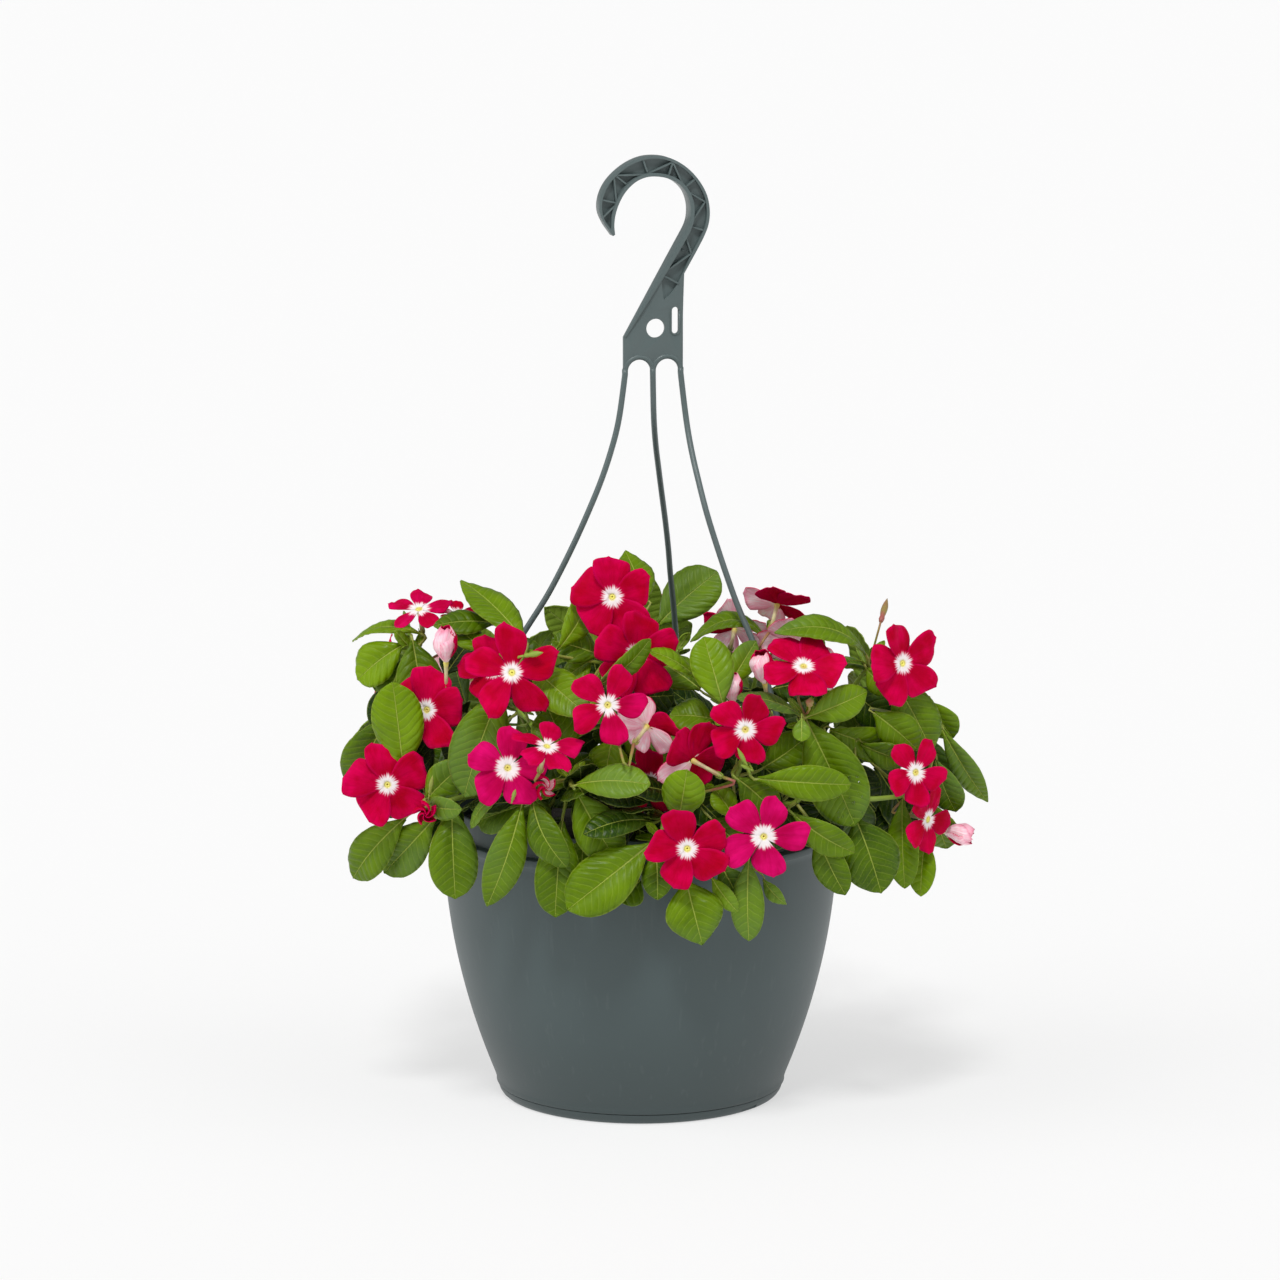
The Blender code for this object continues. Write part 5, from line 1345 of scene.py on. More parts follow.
# One unit of the UV maps, in mm; spacing of a leaf's side veins and half width of its midrib
UV_UNIT = 100.0
VEIN_SPACING = 5.4
RIB_WIDTH = 0.48
LEAF_DARK = srgb(30, 60, 0)
LEAF_BRIGHT = srgb(119, 152, 0)
LEAF_RIB = srgb(180, 196, 86)
# Bluish grey green of patches that vary the hue and also paint the look of a sheen
LEAF_BLUISH_SHEEN = srgb(94, 124, 54)
# Near-black green: painted shade for leaves deep in the foliage
LEAF_PAINTED_SHADE = srgb(12, 26, 2)
UNDER_DARK = srgb(84, 112, 24)
UNDER_BRIGHT = srgb(130, 156, 48)
UNDER_RIB = srgb(170, 184, 92)
CRIMSON = srgb(184, 0, 38)
CRIMSON_PALE = srgb(214, 0, 72)
MAGENTA_DEEP = srgb(196, 4, 84)
MAGENTA_PALE = srgb(226, 14, 112)
STAR_REACH, NO_STAR = 4.6, -6.0
STAR_WHITE = srgb(246, 238, 238)
EYE_YELLOW = srgb(232, 222, 110)
BACK_PALE = srgb(255, 232, 236)
BACK_PINK = srgb(246, 190, 206)


def new_group(name, inputs, outputs):
    """An empty group of number sockets, with its input and output nodes."""
    group = bpy.data.node_groups.new(name, "ShaderNodeTree")
    for label, value in inputs:
        socket = group.interface.new_socket(label, in_out="INPUT", socket_type="NodeSocketFloat")
        socket.default_value = value
    for label in outputs:
        group.interface.new_socket(label, in_out="OUTPUT", socket_type="NodeSocketFloat")
    return group, put(group, "NodeGroupInput"), put(group, "NodeGroupOutput")


def use_group(tree, group, **values):
    node = put(tree, "ShaderNodeGroup", node_tree=group)
    for label, value in values.items():
        node.inputs[label].default_value = value
    return node


def cover(surface, colour, height, strength, distance):
    """Give a surface its colour and its fine relief."""
    tree = surface.node_tree
    shader = tree.nodes["Principled BSDF"]
    tree.links.new(colour, shader.inputs["Base Color"])
    tree.links.new(bump(tree, height, strength, distance), shader.inputs["Normal"])
    return surface


def leaf_lines_group():
    """Midrib, curved side veins and the tissue between them, from the blade's own UV map in mm."""
    group, given, result = new_group("Leaf lines", (("Spacing", VEIN_SPACING), ("Rib width", RIB_WIDTH)),
                                     ("Midrib", "Veins", "Tissue"))
    flat = put(group, "ShaderNodeUVMap", uv_map="UVMap").outputs[0]
    split = put(group, "ShaderNodeSeparateXYZ", flat)
    across = calc(group, "MULTIPLY", calc(group, "SUBTRACT", split.outputs[0], 0.5), UV_UNIT)
    far = calc(group, "ABSOLUTE", across)
    reach = calc(group, "MULTIPLY", split.outputs[1], UV_UNIT)
    wobble = noise_of(group, flat, 9.0, 2.0)
    slope = calc(group, "MULTIPLY", far, calc(group, "ADD", calc(group, "MULTIPLY", far, 0.028), 0.42))
    place = calc(group, "SUBTRACT", reach, slope)
    place = calc(group, "ADD", place, calc(group, "MULTIPLY", wobble, 3.4))
    side = calc(group, "MULTIPLY", calc(group, "GREATER_THAN", across, 0.0), 2.6)
    turns = calc(group, "DIVIDE", calc(group, "ADD", place, side), given.outputs[0])
    wave = calc(group, "MULTIPLY", calc(group, "PINGPONG", turns, 0.5), 2.0)
    veins = fade(group, wave, 0.0, 0.13, 1.0, 0.0)
    veins = calc(group, "MULTIPLY", veins, fade(group, mark(group, "edge"), 0.5, 1.0, 1.0, 0.1))
    width = calc(group, "MULTIPLY", given.outputs[1], calc(group, "SUBTRACT", 1.25, mark(group, "run")))
    midrib = fade(group, calc(group, "DIVIDE", far, width), 0.45, 1.25, 1.0, 0.0)
    tissue = calc(group, "SUBTRACT", fade(group, wave, 0.0, 0.8), calc(group, "MULTIPLY", midrib, 1.4))
    for place, value in enumerate((midrib, veins, tissue)):
        group.links.new(value, result.inputs[place])
    return group


def leaf_surface(name, lines, dark, bright, rib, roughness):
    """Waxy blade, mottled and lighter with its tone, with bluish grey patches that partly paint a sheen,
    near-black painted shade where the tone is near or below zero, and lines in the rib's colour.
    """
    surface, tree, shader = new_surface(name, roughness)
    pattern = use_group(tree, lines)
    place = object_place(tree)
    tone = mark(tree, "tone")
    mottle = noise_of(tree, place, 55.0, 3.0)
    shade = calc(tree, "ADD", calc(tree, "MULTIPLY", tone, 0.66), calc(tree, "MULTIPLY", mottle, 0.8))
    colour = blend(tree, calc(tree, "SUBTRACT", shade, 0.2), dark, bright)
    # Bluish grey patches: partly hue that varies at random, partly a painted sheen
    patch = noise_of(tree, place, 15.0, 1.0)
    colour = blend(tree, fade(tree, patch, 0.5, 0.66, 0.0, 0.55), colour, LEAF_BLUISH_SHEEN)
    # Painted shade: leaves whose tone is near or below zero are darkened towards near-black green
    colour = blend(tree, fade(tree, tone, -0.6, 0.05, 0.75, 0.0), colour, LEAF_PAINTED_SHADE)
    fine = noise_of(tree, place, 900.0, 2.0)
    colour = blend(tree, calc(tree, "MULTIPLY", fade(tree, fine, 0.5, 0.75), 0.22), colour, bright)
    colour = blend(tree, fade(tree, mark(tree, "edge"), 0.93, 1.0, 0.0, 0.3), colour, rib)
    colour = blend(tree, calc(tree, "MULTIPLY", pattern.outputs["Veins"], 0.22), colour, rib)
    colour = blend(tree, calc(tree, "MULTIPLY", pattern.outputs["Midrib"], 0.72), colour, rib)
    rough = calc(tree, "ADD", calc(tree, "MULTIPLY", mottle, 0.24), roughness - 0.12)
    tree.links.new(rough, shader.inputs["Roughness"])
    shader.inputs["Specular IOR Level"].default_value = 0.18
    height = calc(tree, "ADD", pattern.outputs["Tissue"], calc(tree, "MULTIPLY", fine, 0.16))
    height = calc(tree, "ADD", height, calc(tree, "MULTIPLY", noise_of(tree, place, 70.0, 1.0), 4.0))
    return cover(surface, colour, height, 0.8, 0.0004)


def petal_lines_group():
    """Fine streaks that run out along a petal, and the distance from its root, from its UV map in mm."""
    group, given, result = new_group("Petal lines", (("Fineness", 16.0),), ("Streak", "Radius"))
    split = put(group, "ShaderNodeSeparateXYZ", put(group, "ShaderNodeUVMap", uv_map="UVMap").outputs[0])
    across = calc(group, "SUBTRACT", split.outputs[0], 0.5)
    angle = calc(group, "DIVIDE", across, calc(group, "ADD", split.outputs[1], 0.012))
    flat = put(group, "ShaderNodeCombineXYZ", calc(group, "MULTIPLY", angle, given.outputs[0]),
               calc(group, "MULTIPLY", split.outputs[1], 6.0), 0.0)
    group.links.new(noise_of(group, flat.outputs[0], 1.0, 3.0, 0.6), result.inputs["Streak"])
    group.links.new(calc(group, "MULTIPLY", split.outputs[1], UV_UNIT), result.inputs["Radius"])
    return group


def petal_surface(name, lines, star_reach):
    """Velvety crimson, more magenta with the tone and darker as painted shade where it is below zero, with a
    pinker rim that is partly a painted sheen, a white star of that reach and a yellow eye.
    """
    surface, tree, shader = new_surface(name, 0.55)
    fine = use_group(tree, lines, Fineness=26.0)
    streak = use_group(tree, lines, Fineness=11.0).outputs["Streak"]
    radius = fine.outputs["Radius"]
    tone = mark(tree, "tone")
    run = mark(tree, "run")
    cloud = fade(tree, noise_of(tree, object_place(tree), 90.0, 2.0), 0.3, 0.7)
    red = blend(tree, cloud, CRIMSON, CRIMSON_PALE)
    pink = blend(tree, cloud, MAGENTA_DEEP, MAGENTA_PALE)
    colour = blend(tree, fade(tree, tone, 0.05, 0.9), red, pink)
    # Painted shade: petals whose tone is below zero are darkened, as if in the shade
    colour = blend(tree, fade(tree, tone, -0.18, 0.04, 0.6, 0.0), colour, srgb(142, 0, 22))
    colour = blend(tree, fade(tree, run, 0.3, 0.8, 0.3, 0.0), colour, srgb(146, 0, 20))
    colour = blend(tree, fade(tree, streak, 0.4, 0.75, 0.0, 0.3), colour, srgb(140, 0, 20))
    # Pinker rim: partly the petal's own margin, partly a painted sheen where the surface curves away
    rim = calc(tree, "MAXIMUM", fade(tree, mark(tree, "edge"), 0.8, 1.0), fade(tree, run, 0.84, 1.0))
    colour = blend(tree, calc(tree, "MULTIPLY", rim, 0.35), colour, srgb(212, 10, 96))
    star = calc(tree, "ADD", calc(tree, "MULTIPLY", tone, 1.4), star_reach)
    star = calc(tree, "ADD", star, fade(tree, streak, 0.35, 0.65, 0.0, 2.4))
    inside = calc(tree, "SUBTRACT", star, radius)
    colour = blend(tree, fade(tree, inside, -2.4, 0.3, 0.0, 0.6), colour, srgb(222, 30, 110))
    colour = blend(tree, fade(tree, inside, -1.2, 1.4), colour, STAR_WHITE)
    eye = 1.0 if star_reach > 0 else 0.0
    colour = blend(tree, fade(tree, radius, 1.4, 3.1, eye, 0.0), colour, EYE_YELLOW)
    shader.inputs["Sheen Weight"].default_value = 0.03
    shader.inputs["Sheen Roughness"].default_value = 0.4
    shader.inputs["Sheen Tint"].default_value = (1.0, 0.02, 0.2, 1.0)
    shader.inputs["Specular IOR Level"].default_value = 0.02
    return cover(surface, colour, fine.outputs["Streak"], 0.35, 0.0004)


def petal_back_surface(lines):
    """Pale satin underside, streaked and edged with the face's colour, with a faint painted glow standing in
    for light shining through the petal.
    """
    surface, tree, shader = new_surface("petal_back", 0.5)
    fine = use_group(tree, lines, Fineness=20.0).outputs["Streak"]
    run = mark(tree, "run")
    cloud = noise_of(tree, object_place(tree), 110.0, 2.0)
    pale = blend(tree, fade(tree, cloud, 0.35, 0.65), BACK_PALE, BACK_PINK)
    streak = calc(tree, "MULTIPLY", fade(tree, fine, 0.4, 0.75), 0.75)
    pale = blend(tree, streak, pale, srgb(222, 90, 138))
    rim = calc(tree, "MAXIMUM", fade(tree, mark(tree, "edge"), 0.6, 1.0), fade(tree, run, 0.84, 1.0))
    colour = blend(tree, calc(tree, "MULTIPLY", rim, 0.5), pale, srgb(214, 30, 104))
    colour = blend(tree, fade(tree, run, 0.0, 0.2, 0.6, 0.0), colour, srgb(232, 226, 190))
    shader.inputs["Sheen Weight"].default_value = 0.2
    shader.inputs["Specular IOR Level"].default_value = 0.35
    # Painted light: the underside glows faintly in its own colour, standing in for light through the thin
    # petal
    tree.links.new(colour, shader.inputs["Emission Color"])
    shader.inputs["Emission Strength"].default_value = 0.14
    return cover(surface, colour, fine, 0.4, 0.0004)


def stalk_surface():
    """Smooth green stems that turn reddish brown on the flower stalks."""
    surface, tree, shader = new_surface("stalk_skin", 0.45)
    place = object_place(tree)
    patch = noise_of(tree, place, 60.0, 3.0)
    green = blend(tree, patch, srgb(110, 142, 30), srgb(158, 182, 70))
    share = calc(tree, "MULTIPLY", mark(tree, "tone"), fade(tree, patch, 0.25, 0.6))
    colour = blend(tree, share, green, srgb(168, 92, 84))
    return cover(surface, colour, noise_of(tree, place, 700.0, 2.0), 0.3, 0.0003)


def tube_surface():
    """Flower tube: yellow-green at the mouth, pale behind it and pinkish towards the calyx."""
    surface, tree, shader = new_surface("flower_tube", 0.5)
    run = mark(tree, "run")
    patch = noise_of(tree, object_place(tree), 160.0, 2.0)
    colour = blend(tree, fade(tree, run, 0.02, 0.3), srgb(246, 238, 120), srgb(214, 208, 160))
    colour = blend(tree, fade(tree, run, 0.35, 0.95, 0.0, 0.9), colour, srgb(158, 150, 82))
    colour = blend(tree, calc(tree, "MULTIPLY", fade(tree, patch, 0.4, 0.7), 0.4), colour, srgb(186, 104, 96))
    return cover(surface, colour, patch, 0.2, 0.0003)


def water_surface():
    """Clear water beads; only the smallest ripple keeps them from being perfectly even."""
    surface, tree, shader = new_surface("water_bead", 0.03)
    shader.inputs["Transmission Weight"].default_value = 1.0
    shader.inputs["IOR"].default_value = 1.333
    ripple = noise_of(tree, object_place(tree), 700.0, 1.0)
    tree.links.new(blend(tree, ripple, (0.98, 1.0, 0.98), (1.0, 1.0, 1.0)), shader.inputs["Base Color"])
    return surface


def plastic_group():
    """Faint grain, patches and scuffs of moulded matte plastic."""
    group, given, result = new_group("Moulded plastic", (("Grain", 1400.0), ("Cloud", 14.0)),
                                     ("Height", "Patches", "Scuff"))
    place = object_place(group)
    flat = put(group, "ShaderNodeMapping", place)
    flat.inputs["Scale"].default_value = (260.0, 260.0, 9.0)
    scratch = noise_of(group, flat.outputs[0], 1.0, 2.0)
    group.links.new(noise_of(group, place, given.outputs[0], 2.0, 0.6), result.inputs["Height"])
    group.links.new(noise_of(group, place, given.outputs[1], 3.0), result.inputs["Patches"])
    group.links.new(fade(group, scratch, 0.62, 0.72), result.inputs["Scuff"])
    return group


def plastic_surface(name, shared, colour, pale, roughness):
    """Matte moulded plastic, with painted shade that makes it darker towards the floor."""
    surface, tree, shader = new_surface(name, roughness)
    texture = use_group(tree, shared)
    patches = texture.outputs["Patches"]
    tint = blend(tree, patches, colour, pale)
    height = put(tree, "ShaderNodeSeparateXYZ", object_place(tree)).outputs[2]
    # Painted shade: the lowest 100 mm are darkened towards the floor
    tint = blend(tree, fade(tree, height, 0.0, 0.1, 0.5, 0.0), tint, srgb(44, 54, 54))
    tint = blend(tree, calc(tree, "MULTIPLY", texture.outputs["Scuff"], 0.03), tint, srgb(150, 160, 158))
    rough = calc(tree, "ADD", calc(tree, "MULTIPLY", patches, 0.14), roughness - 0.07)
    tree.links.new(rough, shader.inputs["Roughness"])
    return cover(surface, tint, texture.outputs["Height"], 0.25, 0.0002)


def soil_surface():
    """Dark damp crumbs with a few pale specks."""
    surface, tree, shader = new_surface("damp_mix", 0.92)
    place = object_place(tree)
    crumb = noise_of(tree, place, 240.0, 6.0, 0.7)
    speck = noise_of(tree, place, 620.0, 2.0)
    colour = blend(tree, crumb, srgb(8, 6, 5), srgb(34, 26, 20))
    colour = blend(tree, fade(tree, speck, 0.71, 0.75), colour, srgb(120, 116, 108))
    return cover(surface, colour, crumb, 0.9, 0.002)


# Pot: rings (radius, height) from the middle of its underside, over the rim and the collar, to the
# middle of its floor; between them the wall follows wall_radius, outside and then inside
UNDERSIDE_RINGS = (
    (58.0, 9.0), (88.6, 9.0), (90.4, 7.0), (92.4, 6.8), (92.9, 7.6), (93.0, 10.0), (93.2, 10.8),
)
RIM_RINGS = (
    (126.7, 169.2), (127.3, 170.0), (127.4, 172.0), (127.3, 173.9), (126.6, 174.5), (122.4, 174.7),
    (121.9, 175.4), (121.8, 188.6), (121.4, 189.7), (120.9, 189.9), (120.5, 189.3), (120.3, 174.0),
    (125.0, 168.5),
)
FLOOR_RINGS = ((91.0, 13.0), (88.0, 10.9), (58.0, 10.7))
SAUCER_RINGS = (
    (60.0, 0.0), (87.6, 0.0), (88.9, 0.35), (89.7, 1.1), (90.9, 2.9), (92.0, 6.2), (91.8, 6.5),
    (90.6, 6.5), (90.2, 6.2), (84.4, 2.0), (60.0, 1.8),
)
WALL_FOOT = 10.0
WALL_RISE = 148.0
WALL_THICKNESS = 1.7
# Slots in the collar for the strands, and notches in the saucer's edge: angles, size and middle
POT_STEPS = 160
SLOT_TURNS = (-71.5, 48.5, 168.5)
NOTCH_TURNS = (-70.0, 50.0, 170.0)
SLOT_SIZE, SLOT_PLACE = (19.6, 16.0, 10.6), (0, -122.0, 181.6)
NOTCH_SIZE, NOTCH_PLACE = (15.0, 3.4, 5.6), (0, -90.3, 0)
# Potting mix: where its top starts, how rough it is, and how high its crumbs may reach, in metres
SOIL_EDGE, SOIL_ROUGH, SOIL_LIMIT = 0.1705, 0.0016, 0.1765


def wall_radius(z):
    """Outer radius of the bellied wall at a height."""
    t = (z - WALL_FOOT) / WALL_RISE
    return min(92.6 + 61.6 * t - 28.0 * t * t, 126.8)


def turned_piece(name, rings, steps):
    """A closed round piece: a disc drawn out ring by ring and closed by its last disc."""
    pick()
    radius, height = rings[0]
    bpy.ops.mesh.primitive_circle_add(vertices=steps, radius=radius * MM, fill_type="NGON",
                                      location=(0, 0, height * MM))
    item = bpy.context.object
    item.name = name
    apply_place(item)
    bpy.ops.object.mode_set(mode="EDIT")
    bpy.ops.mesh.select_all(action="SELECT")
    for wide, high in rings[1:]:
        bpy.ops.mesh.extrude_region_move(TRANSFORM_OT_translate={"value": (0, 0, (high - height) * MM)})
        share = wide / radius
        bpy.ops.transform.resize(value=(share, share, 1.0), center_override=(0, 0, high * MM))
        radius = wide
        height = high
    finish_edit()
    return item


def cut_block(size, centre, turn):
    """A square cutter turned round the pot's axis."""
    pick()
    bpy.ops.mesh.primitive_cube_add(size=1.0)
    block = bpy.context.object
    block.scale = [s * MM for s in size]
    block.location = Matrix.Rotation(math.radians(turn), 3, "Z") @ (Vector(centre) * MM)
    block.rotation_euler = (0, 0, math.radians(turn))
    apply_place(block)
    return block


def cut_away(item, cutter):
    modify(item, "BOOLEAN", object=cutter, operation="DIFFERENCE")
    bpy.data.objects.remove(cutter, do_unlink=True)


def soften(item, width, degrees):
    """Rounded edges, and smooth shading up to them."""
    modify(item, "BEVEL", width=width * MM, segments=2, limit_method="ANGLE",
           angle_limit=math.radians(degrees))
    bpy.ops.object.shade_smooth_by_angle(angle=math.radians(38))


def build_pot(surface):
    outside = [(wall_radius(z), z) for z in range(14, 167, 8)]
    inside = [(wall_radius(z) - WALL_THICKNESS, z) for z in range(160, 20, -12)]
    pot = turned_piece("pot_shell", [*UNDERSIDE_RINGS, *outside, *RIM_RINGS, *inside, *FLOOR_RINGS],
                       POT_STEPS)
    for turn in SLOT_TURNS:
        cut_away(pot, cut_block(SLOT_SIZE, SLOT_PLACE, turn))
    soften(pot, 0.35, 32)
    dress(pot, [surface])
    finish_piece(pot, "pot")


def build_saucer(surface):
    saucer = turned_piece("saucer_tray", SAUCER_RINGS, POT_STEPS)
    for turn in NOTCH_TURNS:
        cut_away(saucer, cut_block(NOTCH_SIZE, NOTCH_PLACE, turn))
    soften(saucer, 0.25, 40)
    dress(saucer, [surface])
    finish_piece(saucer, "drip_saucer")


def build_soil(surface):
    """Potting mix that fills the pot, with a crumbly top that rises a little to the middle."""
    rings = [(80.0, 11.2), (88.0, 11.4), (89.0, 16.0)]
    rings += [(wall_radius(z) - 3.9, z) for z in (60, 110, 150)]
    rings += [(119.2, 170.2)] + [(r, 171.2 + (119.2 - r) * 0.05) for r in range(117, 4, -4)]
    soil = turned_piece("planting_mix", rings, 120)
    for vertex in soil.data.vertices:
        if vertex.co.z > SOIL_EDGE:
            rough = noise.fractal(vertex.co * 90, 0.9, 2.1, 4) * SOIL_ROUGH
            vertex.co.z = min(vertex.co.z + rough, SOIL_LIMIT)
    soil.data.shade_smooth()
    dress(soil, [surface])
    finish_piece(soil, "soil")


# Hanger: how far the plate is turned and the hook's axis set aside, half depths and places on the plate
PLATE_TURN = 15.0
AXIS_SHIFT = 7.8
HOOK_HALF = 4.2
WEB_FRONT = -0.4
PLATE_HALF = 19.4
PLATE_BOTTOM = 465.0
PLATE_SKIN = 1.05
LEG_SHIFT = 18.2
ARCH_RADIUS = 7.5
ARCH_TOP = 474.4
ARCHES = (LEG_SHIFT / 2, -LEG_SHIFT / 2)
# Round hole in the plate (across, up, radius); the slit's middle, upper and lower end and radius
EYE = (1.5, 494.0, 6.0)
SLIT_ACROSS, SLIT_HIGH, SLIT_LOW, SLIT_RADIUS = 14.3, 505.0, 492.4, 2.3
PIN = (19.2, 543.0)
# Outer and inner edge of the hook, from its tip over the top and down to the plate (across, up)
HOOK_OUTER = (
    (-26.9, 553.4), (-32.6, 561.6), (-35.7, 569.6), (-35.0, 578.0), (-31.4, 586.0), (-25.4, 592.8),
    (-17.4, 598.6), (-8.6, 602.2), (0.2, 603.1), (9.0, 601.8), (17.4, 597.8), (24.6, 592.0),
    (30.4, 584.8), (34.4, 576.8), (36.0, 567.6), (35.2, 559.2), (32.2, 551.4), (27.0, 541.8),
)
HOOK_INNER = (
    (-25.6, 554.2), (-26.1, 560.0), (-25.4, 567.0), (-22.9, 574.6), (-18.6, 581.6), (-12.4, 587.2),
    (-5.4, 590.0), (2.0, 590.2), (9.2, 588.6), (15.3, 585.4), (20.1, 580.2), (22.7, 573.4),
    (23.2, 566.4), (21.9, 559.8), (17.9, 552.0), (8.7, 536.3), (-0.5, 520.7), (-9.7, 505.0),
    (-18.9, 489.4),
)
# The recess between the flanges, and the ends of the ribs across it
CHANNEL_OUTER = (
    (-28.2, 557.6), (-32.4, 563.6), (-34.0, 570.4), (-33.4, 577.4), (-30.0, 585.0), (-24.3, 591.4),
    (-16.7, 596.9), (-8.2, 600.3), (0.2, 601.4), (8.6, 600.0), (16.6, 596.2), (23.5, 590.6),
    (28.9, 583.9), (32.7, 576.3), (34.1, 567.6), (33.3, 559.8), (30.6, 552.6), (23.1, 538.8),
    (14.0, 520.0), (6.6, 512.0),
)
CHANNEL_INNER = (
    (4.7, 524.1), (15.4, 543.0), (20.8, 551.6), (24.7, 559.2), (25.6, 566.4), (24.9, 573.8),
    (22.0, 581.4), (16.7, 587.2), (9.9, 590.6), (2.2, 592.2), (-5.8, 592.0), (-13.5, 589.0),
    (-20.2, 583.0), (-24.8, 575.5), (-27.5, 567.4), (-28.0, 560.6),
)
RIBS = (
    ((-7.4, 601.0), (-4.0, 591.4)), ((-4.0, 591.8), (12.1, 598.9)), ((12.1, 598.9), (9.1, 589.8)),
    ((12.1, 598.5), (19.5, 582.4)), ((26.8, 588.0), (20.0, 582.6)), ((23.2, 579.0), (33.2, 573.2)),
    ((33.2, 573.4), (24.8, 561.5)), ((24.2, 557.8), (33.4, 555.0)), ((20.4, 552.0), (24.0, 541.2)),
    ((24.0, 540.8), (9.0, 531.1)), ((6.2, 527.4), (15.8, 522.2)), ((-25.6, 591.4), (-5.4, 591.2)),
    ((-26.2, 590.4), (-24.4, 573.4)), ((-25.5, 591.4), (-17.2, 585.0)), ((-34.4, 576.4), (-23.8, 573.8)),
    ((-23.8, 573.8), (-34.2, 564.4)),
)
# Width and half depth of the deep inner flange, by the share of its way from the tip to the plate's corner
FLANGE_WIDTH = ((0.0, 0.9), (0.06, 1.9), (0.4, 2.0), (0.58, 2.9), (0.75, 2.7), (1.0, 1.2))
FLANGE_HALF = ((0.0, 3.4), (0.12, 5.2), (0.4, 6.0), (0.62, 6.0), (1.0, 1.7))
# Strands: radius, heights over which they swing from the plate to their own side, where their shift
# to the hook's axis begins and ends, how far the side ones bulge, and (height, distance from the axis)
STRAND = 1.88
SWING_SIDE = 85.0
SWING_MIDDLE = 125.0
SET_ASIDE_FROM, SET_ASIDE_RISE = 180.0, 220.0
SIDE_BULGE, BULGE_RUN = 2.4, 285.0
STRAND_REACH = (
    (465.0, 18.6), (437.0, 23.4), (418.0, 28.8), (399.0, 35.9), (381.0, 43.4),
    (362.0, 52.0), (343.0, 61.4), (325.0, 71.2), (301.0, 86.6), (281.0, 97.4),
    (256.0, 109.0), (230.0, 120.5), (208.0, 127.6), (194.0, 128.0), (184.0, 125.6),
)


def even_line(points, count):
    """Evenly spaced places on the smooth line through the measured ones."""
    line = smooth_path([Vector((across, 0.0, up)) for across, up in points], count)
    return [(spot.x, spot.z) for spot in line]


def arc(centre, radius, first, last, count):
    """Places on an arc from one angle to another."""
    line = []
    for i in range(count + 1):
        angle = math.radians(first + (last - first) * i / count)
        line.append((centre[0] + radius * math.cos(angle), centre[1] + radius * math.sin(angle)))
    return line


def slit_line(radius):
    """Outline of the plate's slit, or of the raised edge round it."""
    return (arc((SLIT_ACROSS, SLIT_HIGH), radius, 0, 180, 12)
            + arc((SLIT_ACROSS, SLIT_LOW), radius, 180, 360, 12))


def slab(name, outline, low, high):
    """A slab between two depths: a filled ring set on the outline and drawn out."""
    pick()
    bpy.ops.mesh.primitive_circle_add(vertices=len(outline), radius=0.01, fill_type="NGON")
    item = bpy.context.object
    item.name = name
    for vertex, (across, up) in zip(item.data.vertices, outline):
        vertex.co = (across * MM, low * MM, up * MM)
    bpy.ops.object.mode_set(mode="EDIT")
    bpy.ops.mesh.select_all(action="SELECT")
    bpy.ops.mesh.extrude_region_move(TRANSFORM_OT_translate={"value": (0, (high - low) * MM, 0)})
    finish_edit()
    return item


def side_cutter(profile):
    """A wide cutter drawn from its (depth, up) profile, to slope the front or the back."""
    item = slab("cutter", profile, -50.0, 50.0)
    item.rotation_euler = (0, 0, math.radians(90))
    apply_place(item)
    return item


def hook_body():
    """Hook and plate in one slab, with the recess, the thin plate, the eye and the slit cut."""
    outline = even_line(HOOK_OUTER, 96) + [(PLATE_HALF, 528.6), (PLATE_HALF, PLATE_BOTTOM)]
    for centre in ARCHES:
        outline += [(centre + ARCH_RADIUS, PLATE_BOTTOM)]
        outline += arc((centre, ARCH_TOP - ARCH_RADIUS), ARCH_RADIUS, 0, 180, 20)
        outline += [(centre - ARCH_RADIUS, PLATE_BOTTOM)]
    outline += [(-PLATE_HALF, PLATE_BOTTOM), (-PLATE_HALF, 489.4)] + even_line(HOOK_INNER, 96)[::-1]
    body = slab("hook_body", outline, -HOOK_HALF, HOOK_HALF)
    recess = even_line(CHANNEL_OUTER, 96) + even_line(CHANNEL_INNER, 96)
    cut_away(body, slab("cutter", recess, -HOOK_HALF - 3.0, WEB_FRONT))
    deep = HOOK_HALF + 4.0
    cut_away(body, side_cutter([(deep, 452.0), (deep, 552.0), (HOOK_HALF, 549.0), (PLATE_SKIN, 500.0),
                                (PLATE_SKIN, 452.0)]))
    cut_away(body, side_cutter([(-deep, 452.0), (-PLATE_SKIN, 452.0), (-PLATE_SKIN, 502.0),
                                (-2.0, 512.0), (-3.3, 524.0), (-HOOK_HALF, 530.0), (-deep, 533.0)]))
    cut_away(body, slab("cutter", arc(EYE[:2], EYE[2], 0, 352.5, 47), -9.0, 9.0))
    cut_away(body, slab("cutter", slit_line(SLIT_RADIUS), -9.0, 9.0))
    soften(body, 0.28, 40)
    return body


